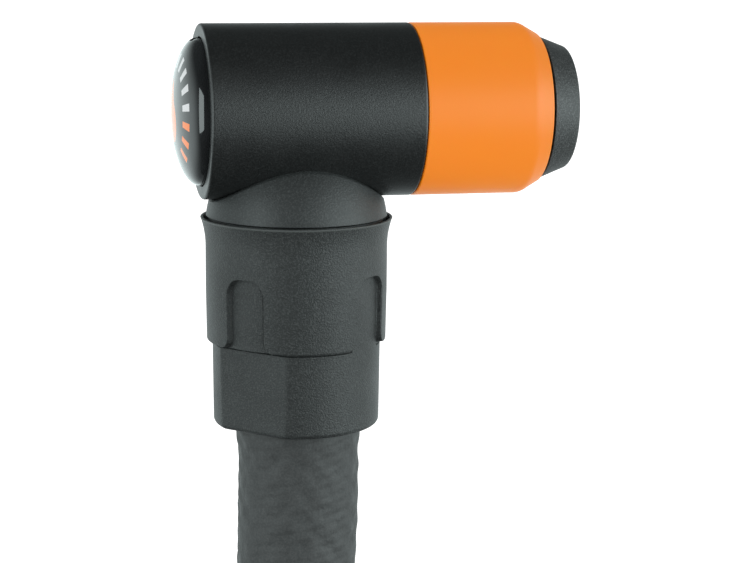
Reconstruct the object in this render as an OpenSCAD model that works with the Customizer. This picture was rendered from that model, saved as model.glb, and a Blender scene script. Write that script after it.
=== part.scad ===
// Push-on valve head for an air pump, with its swivel collar, its reinforced hose and the
// fitting that joins the hose to the pump. All sizes are in millimetres.
//
// The origin is the mouth of the valve socket. +X points out of the socket, +Z is up and the
// hose hangs down along -Z. The barrel, the locking ring and the nose share the X axis; the
// neck, the collar and the top of the hose share an upright axis under the barrel.

/* [Barrel] */
// Outside diameter of the barrel and of the locking ring
barrel_d = 20; // [19:0.25:24]
// Length of the barrel shell, rim to ring
barrel_l = 24.4; // [23:0.2:32]
// Wall of the barrel shell and of the locking ring
shell_t = 1.5; // [1.2:0.1:1.6]
// Rounding of the shell's edges
edge_round = 0.3; // [0.1:0.05:0.5]
// How far the middle of the domed end badge stands proud of the shell's rim
badge_rise = 3.2; // [2:0.1:4]
// How far the badge's straight side stands proud of the rim
badge_side = 0.2; // [0.1:0.05:1.2]
// Distance of the neck's axis from the shell's rim
neck_back = 11.2; // [10.7:0.1:12]

/* [Locking ring] */
// Length of the locking ring
ring_l = 15; // [13.5:0.1:18]
// Length of the rounded shoulder at the ring's front
shoulder_l = 2.45; // [1.5:0.05:3.5]
// How much the shoulder falls below the barrel's surface at the ring's front
shoulder_drop = 1.15; // [0.6:0.05:1.2]
// Travel of the ring from open to locked
ring_stroke = 2.5; // [1:0.1:3]

/* [Nose and valve socket] */
// Length of the nose in front of the ring
nose_l = 3.7; // [3.2:0.05:5]
// Diameter of the nose where its front edge begins to round
nose_tip_d = 14.6; // [13:0.1:16]
// Rounding of the nose's front edge
nose_round = 0.6; // [0.2:0.1:1]
// Diameter of the valve socket
socket_d = 8.4; // [8:0.1:9]
// Length of the nose's skirt inside the core
skirt_l = 4.6; // [3:0.1:5]
// Length of the rubber seal
seal_l = 8.65; // [8:0.05:10]
// Depth of the seal's wide stage
seal_stage_l = 5.5; // [4.5:0.1:6]
// Bore of the seal's wide stage, which grips a car valve
seal_wide_d = 7.7; // [7.2:0.1:7.9]
// Bore of the seal's narrow stage, which grips a slim valve
seal_narrow_d = 6; // [5:0.1:6.5]

/* [Clamp and core pin] */
// Bore of the core that the clamp piston slides in
core_bore_d = 13.2; // [12.8:0.1:13.4]
// Length of the clamp piston
piston_l = 8.4; // [8.2:0.1:8.8]
// Bore of the clamp piston
piston_bore_d = 6; // [4.5:0.1:7]
// Number of lugs that join the piston to the ring
lug_n = 3; // [2:1:4]
// Width of each lug
lug_w = 3; // [2:0.1:4]
// Length of each lug
lug_l = 2.6; // [1.6:0.1:2.8]
// Diameter of the core pin
pin_d = 1.8; // [1.4:0.1:2.4]
// Travel of the core pin
pin_travel = 3; // [1:0.1:3]
// Wire of the pin's spring
spring_wire_d = 0.5; // [0.3:0.05:0.5]
// Active length of the pin's spring
spring_l = 6; // [5.4:0.1:6.5]
// Turns of the pin's spring
spring_turns = 4.5; // [3:0.5:4.5]

/* [Neck and swivel] */
// Widest diameter of the neck's dome
neck_d = 21.2; // [20:0.1:21.4]
// Half height of the ellipse that the dome is turned from
dome_h = 12; // [10:0.1:14]
// Depth of that ellipse's centre below the barrel's underside
dome_sink = 3.7; // [2.8:0.1:5]
// Diameter of the neck's plug in the core
neck_plug_d = 8; // [7:0.1:8.4]
// Diameter of the air channels
air_d = 3.2; // [2:0.1:3.6]
// Diameter of the swivel spigot
spigot_d = 10; // [9:0.1:11]
// Length of the swivel spigot
spigot_l = 9; // [8.4:0.1:11]

/* [Collar] */
// Gap from the barrel's underside down to the collar's rim
collar_drop = 2.2; // [1.6:0.1:3]
// Length of the collar
collar_l = 24.4; // [23:0.1:30]
// Diameter of the collar's flared rim
rim_d = 22.3; // [22.1:0.1:24]
// Thickness of the flared rim's lip
lip_t = 0.35; // [0.2:0.05:0.4]
// Diameter of the grip sleeve below the flare
grip_d = 21.1; // [20.4:0.1:21.6]
// Length of the grip sleeve from the rim down to its lobes' lower edge
grip_l = 14.4; // [13:0.1:16]
// Diameter of the collar below the grip sleeve and in its recesses
lower_d = 19.6; // [19:0.1:20]
// Distance across the collar's two wrench flats
flats_af = 17.3; // [16.8:0.1:18.4]
// Width of each arched recess
recess_w = 5; // [3:0.1:6]
// Height of each arched recess
recess_h = 8.2; // [5:0.1:9]
// Rounding of the arch's corners
recess_round = 1.4; // [0.5:0.1:1.5]
// Rounding of the lobes' lower corners
lobe_round = 1.2; // [0.4:0.1:2]
// Thickness of the collar's floor under the ferrule
collar_floor_t = 1.3; // [1:0.1:2]

/* [Hose] */
// Outside diameter of the hose
hose_d = 14; // [13:0.1:14.2]
// Bore of the hose
hose_bore_d = 6.5; // [6:0.1:8]
// Extra diameter where the hose swells below the collar
hose_swell = 0.5; // [0:0.1:0.6]
// Wall of the crimped ferrules
ferrule_t = 0.75; // [0.5:0.05:0.8]
// Radius of the coil's centre line
coil_r = 70; // [70:1:84]
// Sideways step of the coil from turn to turn
coil_pitch = 15.2; // [15:0.1:18]
// Angle that the coil turns through, in degrees
coil_turn = 780; // [765:15:780]

/* [Pump fitting] */
// Width of the union nut across its flats
nut_af = 17; // [15.6:0.5:19]
// Length of the union nut
nut_l = 15; // [14:0.5:20]
// Bore of the union nut's thread
nut_thread_d = 10.9; // [10.4:0.1:11.4]
// Width of each coil strap
strap_w = 14; // [8:1:16]
// Thickness of the straps
strap_t = 1.6; // [1:0.1:3]

/* [Clearances] */
// Radial clearance of parts that slide or turn on each other
run_fit = 0.1; // [0.05:0.01:0.1]
// Radial clearance of the swivel on its spigot
swivel_fit = 0.05; // [0.03:0.01:0.08]
// Clearance between fixed parts
seat_gap = 0.05; // [0.02:0.01:0.1]
// Clearance between parts that pass each other without touching
free_gap = 0.3; // [0.2:0.05:0.4]

/* [Hidden] */
$fn = 96;
eps = 1;

// barrel, along X
barrel_r = barrel_d / 2;
shell_in_r = barrel_r - shell_t;
core_r = shell_in_r - run_fit;
ring_front_x = -nose_l;
seam_x = ring_front_x - ring_l;
rim_x = seam_x - barrel_l;
neck_x = rim_x + neck_back;
socket_r = socket_d / 2;
nose_tip_r = nose_tip_d / 2;

// end of the barrel: the badge sits on the plug's flange, just inside the rim
badge_r = shell_in_r - run_fit;
badge_x = rim_x - badge_side;
badge_seat = 1;
flange_t = 1.7;
flange_x = rim_x + badge_seat;
core_back_x = flange_x + flange_t;
plug_r = 3;
plug_l = 2.7;
plug_floor_gap = 0.3;

// O-rings and their grooves; the land is the material between a groove and an end
o_d = 0.9;
groove_w = 1.2;
land = 0.7;
plug_o_x = core_back_x + land + groove_w / 2;

// clamp: seal, piston, lugs and their slots, from the nose backwards
core_bore_r = core_bore_d / 2;
skirt_t = 0.7;
skirt_in_r = core_bore_r - skirt_t;
skirt_end_x = ring_front_x - skirt_l;
seal_end_x = ring_front_x - seal_l;
piston_r = core_bore_r - run_fit;
lug_front_x = seal_end_x - land;
lug_back_x = lug_front_x - lug_l;
slot_gap = 0.2;
slot_back_x = lug_back_x - slot_gap;
slot_front_x = lug_front_x + ring_stroke + slot_gap;
lug_bite = 0.5;
lug_top_r = shell_in_r + lug_bite;
pocket_gap = 0.1;
piston_end_x = seal_end_x - piston_l;
piston_o_x = piston_end_x + land + groove_w / 2;

// core pin: guide, flange and spring, behind the piston
guide_t = 1.4;
guide_gap = 0.6;
guide_x = piston_end_x - guide_gap - guide_t;
pin_r = pin_d / 2;
pin_set_back = 0.2;
pin_tip_x = ring_front_x - seal_stage_l - pin_set_back;
pin_flange_r = 2.6;
pin_flange_t = 1;
pin_flange_x = guide_x - seat_gap - pin_flange_t;
pin_tail_l = 1.6;
spring_r = 2.2;
spring_seat_x = pin_flange_x - spring_l;
mid_bore_r = 3.6;
vent_n = 6;
vent_r = 0.7;
vent_pcr = 2.5;

// neck and swivel, along Z
collar_top_z = -barrel_r - collar_drop;
collar_end_z = collar_top_z - collar_l;
dome_z = -barrel_r - dome_sink;
dome_end_drop = 0.5;
dome_end_z = collar_top_z - dome_end_drop;
dome_share = 0.8;
saddle_r = barrel_r + seat_gap;
neck_plug_r = neck_plug_d / 2;
neck_plug_l = 3.2;
neck_plug_top_z = -core_r + neck_plug_l;
neck_o_z = neck_plug_top_z - land - groove_w / 2;
port_gap = 0.1;
port_top_z = neck_plug_top_z + port_gap;
air_r = air_d / 2;
channel_r = air_r + 0.4;
spigot_r = spigot_d / 2;
spigot_end_z = dome_end_z - spigot_l;
groove_depth = 1;
groove_r = spigot_r - groove_depth;
clip_t = 0.8;
clip_reach = 0.55;
clip_in_r = spigot_r - clip_reach;
clip_out_r = spigot_r + clip_reach;
seal_step = 2.3;
clip_z = (dome_end_z + spigot_end_z) / 2 - clip_t / 2;
seal_upper_z = clip_z + seal_step;
seal_lower_z = clip_z - seal_step;

// nipple, ferrule and collar
nipple_top_z = dome_end_z - free_gap;
cup_r = spigot_r + swivel_fit;
cup_t = 3.2;
cup_out_r = spigot_r + cup_t;
cup_lead = 0.2;
cup_floor_t = 2.1;
cup_floor_z = spigot_end_z - free_gap;
cup_end_z = cup_floor_z - cup_floor_t;
barb_r = hose_bore_d / 2 - seat_gap;
barb_cut = 0.5;
hose_r = hose_d / 2;
hose_bore_r = hose_bore_d / 2;
ferrule_in_r = hose_r + seat_gap;
ferrule_out_r = ferrule_in_r + ferrule_t;
ferrule_end_t = 0.8;
collar_cup_r = cup_out_r + seat_gap;
collar_low_r = ferrule_out_r + 2 * seat_gap;
collar_mouth_z = nipple_top_z - 2 * seat_gap;
collar_floor_z = collar_end_z + collar_floor_t;
ferrule_end_z = collar_floor_z + free_gap;
grip_hose_l = cup_end_z - ferrule_end_z;
barb_n = 3;
barb_tip_gap = 0.4;
barb_step = (grip_hose_l - barb_tip_gap - ferrule_end_t) / barb_n;
barb_gap = 0.4;
barb_l = barb_step - barb_gap;
rim_r = rim_d / 2;
grip_r = grip_d / 2;
lower_r = lower_d / 2;
lobe_z = collar_top_z - grip_l;
lobe_chamfer = 0.2;
lower_round = 0.6;
swell_r = hose_r + hose_swell / 2;
swell_l = 1.2;
hose_hole_r = swell_r + free_gap / 2;
hose_out_l = 5.1;
hose_end_z = collar_end_z - hose_out_l;
recess_angles = [45, 135, 225, 315];
flat_angles = [45, 225];

// route of the hose from the collar down to its coil, from the collar's lower end, as x and z
lead_route = [[0, -22], [-4, -46], [-16.5, -67], [-35, -82.5]];
lead_end = lead_route[len(lead_route) - 1];
lead_sides = 12;
coil_sides = 6;
coil_step = 15;
// the coil's axis is parallel to Y; angles turn from +X towards +Z
coil_a0 = 120;
coil_a1 = coil_a0 + coil_turn;
coil_in = [neck_x + lead_end[0], 0, collar_end_z + lead_end[1]];
coil_c = coil_in + hose_d * heading(coil_a0) - coil_r * radial(coil_a0);
strap_gap = 0.7;
tie_upper_a = 165;
tie_lower_a = 330;

// pump end, measured along the hose's end from where the coil stops turning
tail_s = 1.5 * hose_d;
tail_ferrule_s = tail_s + 0.5;
tail_hose_end_s = tail_ferrule_s + grip_hose_l - ferrule_end_t - seat_gap;
tail_root_s = tail_ferrule_s + grip_hose_l + seat_gap;
tail_flange_t = 4;
tail_flange_r = ferrule_out_r - 0.2;
nut_s = tail_root_s + tail_flange_t + free_gap;
stub_r = 4.85;
head_gap = 0.15;
head_r = nut_thread_d / 2 - head_gap;
head_t = 2;
washer_t = 1.4;
washer_r = head_r - seat_gap;
washer_in_r = air_r + free_gap;
nut_wall_l = 1.8;
nut_slack = 0.2;
head_s = nut_s + nut_wall_l + nut_slack;
head_end_s = head_s + head_t;
washer_end_s = head_end_s + washer_t;
thread_s = washer_end_s + nut_slack;
nut_end_s = nut_s + nut_l;
nut_relief = 0.35;
nut_shoulder_l = 3.5;
nut_chamfer = 0.8;

// ---- helpers ----

function arc(c, r, a0, a1, n) =
    [for (i = [0:n]) c + r * [cos(a0 + (a1 - a0) * i / n), sin(a0 + (a1 - a0) * i / n)]];

function radial(a) = [cos(a), 0, sin(a)];
function heading(a) = [-sin(a), 0, cos(a)];
function coil_y(a) = coil_pitch * (a - coil_a0) / 360;
function coil_at(a) = coil_c + coil_r * radial(a) + [0, coil_y(a), 0];

// turned about X: each point is [radius, x]
module turned_x(points) {
    rotate([0, 90, 0])
        rotate_extrude()
            polygon(points);
}

// turned about the neck's axis: each point is [radius, z]
module turned_z(points) {
    translate([neck_x, 0, 0])
        rotate_extrude()
            polygon(points);
}

module rod_x(r, x0, x1) {
    translate([x0, 0, 0])
        rotate([0, 90, 0])
            cylinder(r = r, h = x1 - x0);
}

module rod_z(r, z0, z1) {
    translate([neck_x, 0, z0])
        cylinder(r = r, h = z1 - z0);
}

// square-cut bands centred on x or z, from radius r0 to r1
module band_x(r0, r1, x, w) {
    turned_x([[r0, x - w / 2], [r1, x - w / 2], [r1, x + w / 2], [r0, x + w / 2]]);
}

module band_z(r0, r1, z, w) {
    turned_z([[r0, z - w / 2], [r1, z - w / 2], [r1, z + w / 2], [r0, z + w / 2]]);
}

// an O-ring about Z whose inside clears the groove's floor r by a gap
module o_ring(r, gap) {
    rotate_extrude()
        translate([r + gap + o_d / 2, 0])
            circle(d = o_d, $fn = 24);
}

// a tube of triangles: c are ring centres, n and b span each ring's plane, n x b points along it
module tube(c, n, b, r, sides) {
    last = len(c) - 1;
    points = [for (i = [0:last], j = [0:sides - 1])
        c[i] + r * (cos(j * 360 / sides) * n[i] + sin(j * 360 / sides) * b[i])];
    walls = [for (i = [0:last - 1], j = [0:sides - 1], half = [0, 1])
        let (k = (j + 1) % sides, p = i * sides, q = (i + 1) * sides)
        half == 0 ? [p + j, q + j, q + k] : [p + j, q + k, p + k]];
    caps = [for (j = [1:sides - 2], end = [0, 1])
        end == 0 ? [0, j, j + 1] : [last * sides, last * sides + j + 1, last * sides + j]];
    polyhedron(points, concat(walls, caps));
}

// the least distance between the surfaces of turns, from centre points at least half a turn apart
function least_gap(c, per_turn, d) =
    min([for (i = [0:len(c) - 1], j = [i + floor(per_turn / 2):1:len(c) - 1]) norm(c[i] - c[j])]) - d;

// places its children on the coil at an angle: X is radial, Z runs along the hose
module on_coil(a, along = 0) {
    translate(coil_at(a))
        rotate([0, -a, 0])
            translate([0, 0, along])
                children();
}

// ---- head ----

module barrel_shell() {
    color("#202324")
        difference() {
            turned_x(concat(
                [[shell_in_r, rim_x]],
                arc([barrel_r - edge_round, rim_x + edge_round], edge_round, -90, 0, 4),
                arc([barrel_r - edge_round, seam_x - edge_round], edge_round, 0, 90, 4),
                [[shell_in_r, seam_x]]));
            rod_z(neck_plug_r + free_gap, -barrel_r - eps, -eps);
        }
}

module lug_shape(grow, x0, x1, r1) {
    for (k = [0:lug_n - 1])
        rotate([k * 360 / lug_n, 0, 0])
            intersection() {
                translate([x0, -lug_w / 2 - grow, 0])
                    cube([x1 - x0, lug_w + 2 * grow, barrel_r]);
                rod_x(r1, x0, x1);
            }
}

module head_core() {
    color("#3c4143")
        difference() {
            rod_x(core_r, core_back_x, ring_front_x);
            rod_x(core_bore_r, guide_x - seat_gap, ring_front_x + eps);
            rod_x(mid_bore_r, spring_seat_x, guide_x);
            rod_x(channel_r, core_back_x - eps, spring_seat_x + eps);
            rod_x(plug_r + seat_gap, core_back_x - eps, core_back_x + plug_l + plug_floor_gap);
            rod_z(neck_plug_r + seat_gap, -barrel_r, port_top_z);
            rod_z(air_r, port_top_z - eps, 0);
            difference() {
                lug_shape(slot_gap, slot_back_x, slot_front_x, barrel_r);
                rod_x(core_bore_r - eps, slot_back_x - eps, slot_front_x + eps);
            }
        }
}

module badge_dome() {
    // the cap is half an ellipse, as [radius, x] points from its edge to its middle
    cap_h = badge_rise - badge_side;
    steps = 16;
    color("#15181a")
        turned_x(concat(
            [[0, flange_x], [badge_r, flange_x]],
            [for (i = [0:steps])
                let (a = 90 * i / steps)
                [badge_r * cos(a), badge_x - cap_h * sin(a)]]));
}

module end_plug() {
    color("#2b2f31")
        difference() {
            union() {
                rod_x(badge_r, flange_x, core_back_x);
                rod_x(plug_r, core_back_x - eps, core_back_x + plug_l);
            }
            band_x(plug_r - o_d, plug_r + eps, plug_o_x, groove_w);
        }
}

module end_plug_seal() {
    color("#111111")
        translate([plug_o_x, 0, 0])
            rotate([0, 90, 0])
                o_ring(plug_r - o_d, seat_gap / 2);
}

module neck() {
    top_z = dome_z + dome_h * dome_share;
    steps = 12;
    dome = [for (i = [0:steps])
        let (z = dome_end_z + (top_z - dome_end_z) * i / steps)
        [neck_d / 2 * sqrt(1 - pow((z - dome_z) / dome_h, 2)), z]];
    color("#454c4c")
        difference() {
            union() {
                difference() {
                    turned_z(concat([[0, dome_end_z]], dome, [[0, top_z]]));
                    rod_x(saddle_r, rim_x - barrel_r, seam_x + barrel_r);
                }
                rod_z(neck_plug_r, -saddle_r - eps, neck_plug_top_z);
                rod_z(spigot_r, spigot_end_z, dome_end_z + eps);
            }
            rod_z(air_r, spigot_end_z - eps, 0);
            band_z(neck_plug_r - o_d, neck_plug_r + eps, neck_o_z, groove_w);
            band_z(groove_r, spigot_r + eps, seal_upper_z, groove_w);
            band_z(clip_in_r - run_fit, spigot_r + eps, clip_z, clip_t + 2 * run_fit);
            band_z(groove_r, spigot_r + eps, seal_lower_z, groove_w);
        }
}

module neck_seal() {
    color("#111111")
        translate([neck_x, 0, neck_o_z])
            o_ring(neck_plug_r - o_d, seat_gap / 2);
}

module nose_cap() {
    // the cone runs from the core's edge to the rounded front edge, which starts at its slope
    slope = atan((core_r - nose_tip_r) / (nose_l - nose_round));
    skirt_r = core_bore_r - seat_gap;
    color("#33393a")
        turned_x(concat(
            [[socket_r, ring_front_x], [skirt_in_r, ring_front_x], [skirt_in_r, skirt_end_x],
                [skirt_r, skirt_end_x], [skirt_r, ring_front_x], [core_r, ring_front_x]],
            arc([nose_tip_r - nose_round, -nose_round], nose_round, slope, 90, 5),
            [[socket_r, 0]]));
}

module valve_seal() {
    out_r = core_bore_r - 2 * run_fit;
    slim_r = skirt_in_r - run_fit;
    foot_x = skirt_end_x - run_fit;
    stage_x = ring_front_x - seal_stage_l;
    wide_r = seal_wide_d / 2;
    narrow_r = seal_narrow_d / 2;
    color("#1a1a1a")
        turned_x([[wide_r, ring_front_x], [slim_r, ring_front_x], [slim_r, foot_x],
            [out_r, foot_x], [out_r, seal_end_x], [narrow_r, seal_end_x],
            [narrow_r, stage_x], [wide_r, stage_x]]);
}

module pin_guide() {
    color("#c9a86a")
        difference() {
            rod_x(core_bore_r - seat_gap, guide_x, guide_x + guide_t);
            rod_x(pin_r + run_fit, guide_x - eps, guide_x + guide_t + eps);
            for (k = [0:vent_n - 1])
                rotate([k * 360 / vent_n, 0, 0])
                    translate([guide_x - eps, vent_pcr, 0])
                        rotate([0, 90, 0])
                            cylinder(r = vent_r, h = guide_t + 2 * eps, $fn = 24);
        }
}

module pin_spring() {
    per_turn = 8;
    steps = round(spring_turns * per_turn);
    free_l = spring_l - spring_wire_d - 2 * seat_gap;
    x0 = spring_seat_x + seat_gap + spring_wire_d / 2;
    c = [for (i = [0:steps])
        let (a = i * 360 / per_turn)
        [x0 + free_l * i / steps, spring_r * cos(a), spring_r * sin(a)]];
    n = [for (i = [0:steps]) [0, cos(i * 360 / per_turn), sin(i * 360 / per_turn)]];
    b = [for (i = [0:steps]) [-1, 0, 0]];
    echo(least_gap_of_the_spring = least_gap(c, per_turn, spring_wire_d));
    color("#b9bcbe")
        tube(c, n, b, spring_wire_d / 2, 6);
}

module swivel_seal_upper() {
    color("#111111")
        translate([neck_x, 0, seal_upper_z])
            o_ring(groove_r, seat_gap);
}

module swivel_seal_lower() {
    color("#111111")
        translate([neck_x, 0, seal_lower_z])
            o_ring(groove_r, seat_gap);
}

// ---- locking ring and its clamp ----

module slide_ring() {
    // the shoulder is an arc that leaves the ring's surface smoothly
    bow_r = (shoulder_l * shoulder_l + shoulder_drop * shoulder_drop) / (2 * shoulder_drop);
    bow_a = asin(shoulder_l / bow_r);
    back_x = seam_x + seat_gap;
    color("#f5861f")
        difference() {
            turned_x(concat(
                [[shell_in_r, back_x]],
                arc([barrel_r - edge_round, back_x + edge_round], edge_round, -90, 0, 4),
                arc([barrel_r - bow_r, ring_front_x - shoulder_l], bow_r, 0, bow_a, 8),
                [[shell_in_r, ring_front_x]]));
            lug_shape(pocket_gap, lug_back_x - pocket_gap, lug_front_x + pocket_gap, lug_top_r + pocket_gap);
        }
}

module clamp_piston() {
    color("#8d9496")
        difference() {
            union() {
                rod_x(piston_r, piston_end_x, seal_end_x);
                lug_shape(0, lug_back_x, lug_front_x, lug_top_r);
            }
            rod_x(piston_bore_d / 2, piston_end_x - eps, seal_end_x + eps);
            band_x(piston_r - o_d, piston_r + eps, piston_o_x, groove_w);
        }
}

module piston_seal() {
    color("#111111")
        translate([piston_o_x, 0, 0])
            rotate([0, 90, 0])
                o_ring(piston_r - o_d, seat_gap);
}

module core_pin() {
    color("#d8c48a")
        union() {
            rod_x(pin_r, pin_flange_x - pin_tail_l, pin_tip_x);
            rod_x(pin_flange_r, pin_flange_x, pin_flange_x + pin_flange_t);
        }
}

// ---- collar and hose end ----

module recess_outline() {
    w = recess_w / 2;
    top = lobe_z + recess_h;
    below = lobe_z - lobe_chamfer;
    polygon(concat(
        arc([-w - lobe_round, lobe_z + lobe_round], lobe_round, -90, 0, 5),
        arc([-w + recess_round, top - recess_round], recess_round, 180, 90, 5),
        arc([w - recess_round, top - recess_round], recess_round, 90, 0, 5),
        arc([w + lobe_round, lobe_z + lobe_round], lobe_round, 180, 270, 5),
        [[w + lobe_round, below], [-w - lobe_round, below]]));
}

module collar() {
    flare_l = 3.6;
    flare_power = 2.2;
    taper = 0.1;
    color("#4a5252")
        difference() {
            turned_z(concat(
                [[hose_hole_r, collar_end_z]],
                arc([lower_r - taper - lower_round, collar_end_z + lower_round], lower_round, -90, 0, 5),
                [[lower_r, lobe_z], [grip_r - taper - lobe_chamfer, lobe_z],
                    [grip_r - taper, lobe_z + 2 * lobe_chamfer]],
                [for (i = [0:6])
                    let (t = i / 6)
                    [grip_r + (rim_r - grip_r) * pow(t, flare_power), collar_top_z - flare_l * (1 - t)]],
                [[rim_r - lip_t, collar_top_z], [rim_r - lip_t, collar_mouth_z],
                    [collar_cup_r, collar_mouth_z], [collar_cup_r, cup_end_z - seat_gap],
                    [collar_low_r, cup_end_z - seat_gap], [collar_low_r, collar_floor_z],
                    [hose_hole_r, collar_floor_z]]));
            difference() {
                for (a = recess_angles)
                    translate([neck_x, 0, 0])
                        rotate([90, 0, 90 + a])
                            linear_extrude(height = rim_r)
                                recess_outline();
                rod_z(lower_r, collar_end_z, collar_top_z);
            }
            for (a = flat_angles)
                translate([neck_x, 0, 0])
                    rotate([0, 0, a])
                        translate([flats_af / 2, -lower_r, collar_end_z - eps])
                            cube([lower_r, 2 * lower_r, lobe_z - collar_end_z + eps]);
        }
}

// a barbed stem from its tip at z0 to its root at z1, as [radius, z] points; barbs widen upwards
function stem(z0, z1) = concat(
    [[air_r, z0]],
    [for (i = [0:barb_n - 1], p = [[barb_cut, 0], [0, barb_l], [barb_cut, barb_l]])
        [barb_r - p[0], z0 + i * barb_step + p[1]]],
    [[barb_r - barb_cut, z1]]);

module hose_nipple() {
    clip_top_z = clip_z + clip_t / 2 + seat_gap;
    clip_foot_z = clip_z - clip_t / 2 - seat_gap;
    color("#c9a24a")
        turned_z(concat(
            stem(ferrule_end_z + barb_tip_gap, cup_end_z),
            [[cup_out_r, cup_end_z], [cup_out_r, nipple_top_z],
                [cup_r + cup_lead, nipple_top_z], [cup_r, nipple_top_z - cup_lead],
                [cup_r, clip_top_z], [clip_out_r + seat_gap, clip_top_z],
                [clip_out_r + seat_gap, clip_foot_z], [cup_r, clip_foot_z],
                [cup_r, cup_floor_z], [air_r, cup_floor_z]]));
}

module swivel_clip() {
    gap_w = 3;
    color("#b9bcbe")
        difference() {
            band_z(clip_in_r, clip_out_r, clip_z, clip_t);
            translate([neck_x - gap_w / 2, 0, clip_z - eps])
                cube([gap_w, clip_out_r + eps, 2 * eps]);
        }
}

// crimp sleeve round a hose end, open at z0 and closed at z1, with three crimped grooves
function sleeve(z0, z1) =
    let (crimp = 0.25, pitch = (z1 - z0) / 7, end_z = z1 - ferrule_end_t)
    concat(
        [[ferrule_in_r, z0], [ferrule_out_r, z0]],
        [for (k = [0:2], p = [[1, 0], [1.3, 1], [1.7, 1], [2, 0]])
            [ferrule_out_r - crimp * p[1], z0 + pitch * (p[0] + 2 * k)]],
        [[ferrule_out_r, z1], [barb_r + free_gap, z1], [barb_r + free_gap, end_z], [ferrule_in_r, end_z]]);

module hose_ferrule() {
    color("#a9adb0")
        turned_z(sleeve(ferrule_end_z, cup_end_z - seat_gap));
}

module hose_end() {
    top_z = cup_end_z - ferrule_end_t - 2 * seat_gap;
    color("#4b5050")
        turned_z([[hose_bore_r, hose_end_z], [hose_r, hose_end_z], [swell_r, collar_end_z - swell_l],
            [swell_r, collar_floor_z - free_gap], [hose_r, collar_floor_z], [hose_r, top_z],
            [hose_bore_r, top_z]]);
}

// ---- free hose ----

module hose_lead() {
    last = len(lead_route) - 1;
    p = concat([[0, hose_end_z - collar_end_z]], lead_route);
    // each ring faces halfway between its two neighbours; the last one faces along the coil
    way = [for (i = [0:last + 1])
        i == 0 ? [0, -1]
            : i > last ? [heading(coil_a0)[0], heading(coil_a0)[2]]
            : (p[i + 1] - p[i - 1]) / norm(p[i + 1] - p[i - 1])];
    c = [for (q = p) [neck_x + q[0], 0, collar_end_z + q[1]]];
    n = [for (w = way) [w[1], 0, -w[0]]];
    b = [for (w = way) [0, 1, 0]];
    color("#4b5050")
        tube(c, n, b, hose_r, lead_sides);
}

module hose_coil() {
    steps = coil_turn / coil_step;
    angles = [for (i = [0:steps]) coil_a0 + i * coil_step];
    c = concat([coil_in], [for (a = angles) coil_at(a)], [coil_at(coil_a1) + tail_s * heading(coil_a1)]);
    n = concat([radial(coil_a0)], [for (a = angles) radial(a)], [radial(coil_a1)]);
    b = [for (q = c) [0, 1, 0]];
    echo(least_gap_of_the_coil = least_gap(c, 360 / coil_step, hose_d));
    echo(length_of_the_coil = hose_d + norm([coil_r * PI / 180, coil_pitch / 360]) * coil_turn + tail_s);
    color("#4b5050")
        tube(c, n, b, hose_r, coil_sides);
}

// a strap round the strands between two angles that are whole turns apart
module coil_strap(a, turns) {
    in_r = hose_r + strap_gap;
    run = turns * coil_pitch;
    on_coil(a)
        linear_extrude(height = strap_w, center = true)
            difference() {
                strap_outline(in_r + strap_t, run);
                strap_outline(in_r, run);
            }
}

module strap_outline(r, run) {
    circle(r = r);
    translate([0, run])
        circle(r = r);
    translate([-r, 0])
        square([2 * r, run]);
}

module hose_tie_upper() {
    color("#1d1f20")
        coil_strap(tie_upper_a, 2);
}

module hose_tie_lower() {
    color("#1d1f20")
        coil_strap(tie_lower_a, 1);
}

// ---- pump end ----

module turned_tail(points) {
    on_coil(coil_a1)
        rotate_extrude()
            polygon(points);
}

module hose_tail() {
    color("#4b5050")
        turned_tail([[hose_bore_r, tail_s], [hose_r, tail_s], [hose_r, tail_hose_end_s],
            [hose_bore_r, tail_hose_end_s]]);
}

module pump_ferrule() {
    color("#a9adb0")
        turned_tail(sleeve(tail_ferrule_s, tail_ferrule_s + grip_hose_l));
}

module pump_tailpiece() {
    flange_end_s = tail_root_s + tail_flange_t;
    color("#c9a24a")
        turned_tail(concat(
            stem(tail_ferrule_s + barb_tip_gap, tail_root_s),
            [[tail_flange_r, tail_root_s], [tail_flange_r, flange_end_s], [stub_r, flange_end_s],
                [stub_r, head_s], [head_r, head_s], [head_r, head_end_s], [air_r, head_end_s]]));
}

module pump_seal() {
    color("#b5452c")
        turned_tail([[washer_in_r, head_end_s], [washer_r, head_end_s], [washer_r, washer_end_s],
            [washer_in_r, washer_end_s]]);
}

module pump_nut() {
    flat_r = nut_af / 2;
    corner_r = flat_r / cos(30);
    in_r = stub_r + swivel_fit;
    thread_r = nut_thread_d / 2;
    relief_r = thread_r + nut_relief;
    wall_s = nut_s + nut_wall_l;
    echo(mouth_of_the_nut = coil_at(coil_a1) + nut_end_s * heading(coil_a1));
    echo(length_of_the_thread = nut_end_s - thread_s);
    color("#c3c7c9")
        on_coil(coil_a1)
            difference() {
                intersection() {
                    translate([0, 0, nut_s])
                        cylinder(r = corner_r, h = nut_l, $fn = 6);
                    rotate_extrude()
                        polygon([[0, nut_s], [flat_r - nut_chamfer, nut_s], [flat_r, nut_s + nut_chamfer],
                            [corner_r, nut_s + nut_shoulder_l], [corner_r, nut_end_s - nut_chamfer],
                            [flat_r, nut_end_s], [0, nut_end_s]]);
                }
                rotate_extrude()
                    polygon([[0, nut_s - eps], [in_r, nut_s - eps], [in_r, wall_s], [relief_r, wall_s],
                        [relief_r, thread_s], [thread_r, thread_s], [thread_r, nut_end_s + eps],
                        [0, nut_end_s + eps]]);
            }
}

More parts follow.
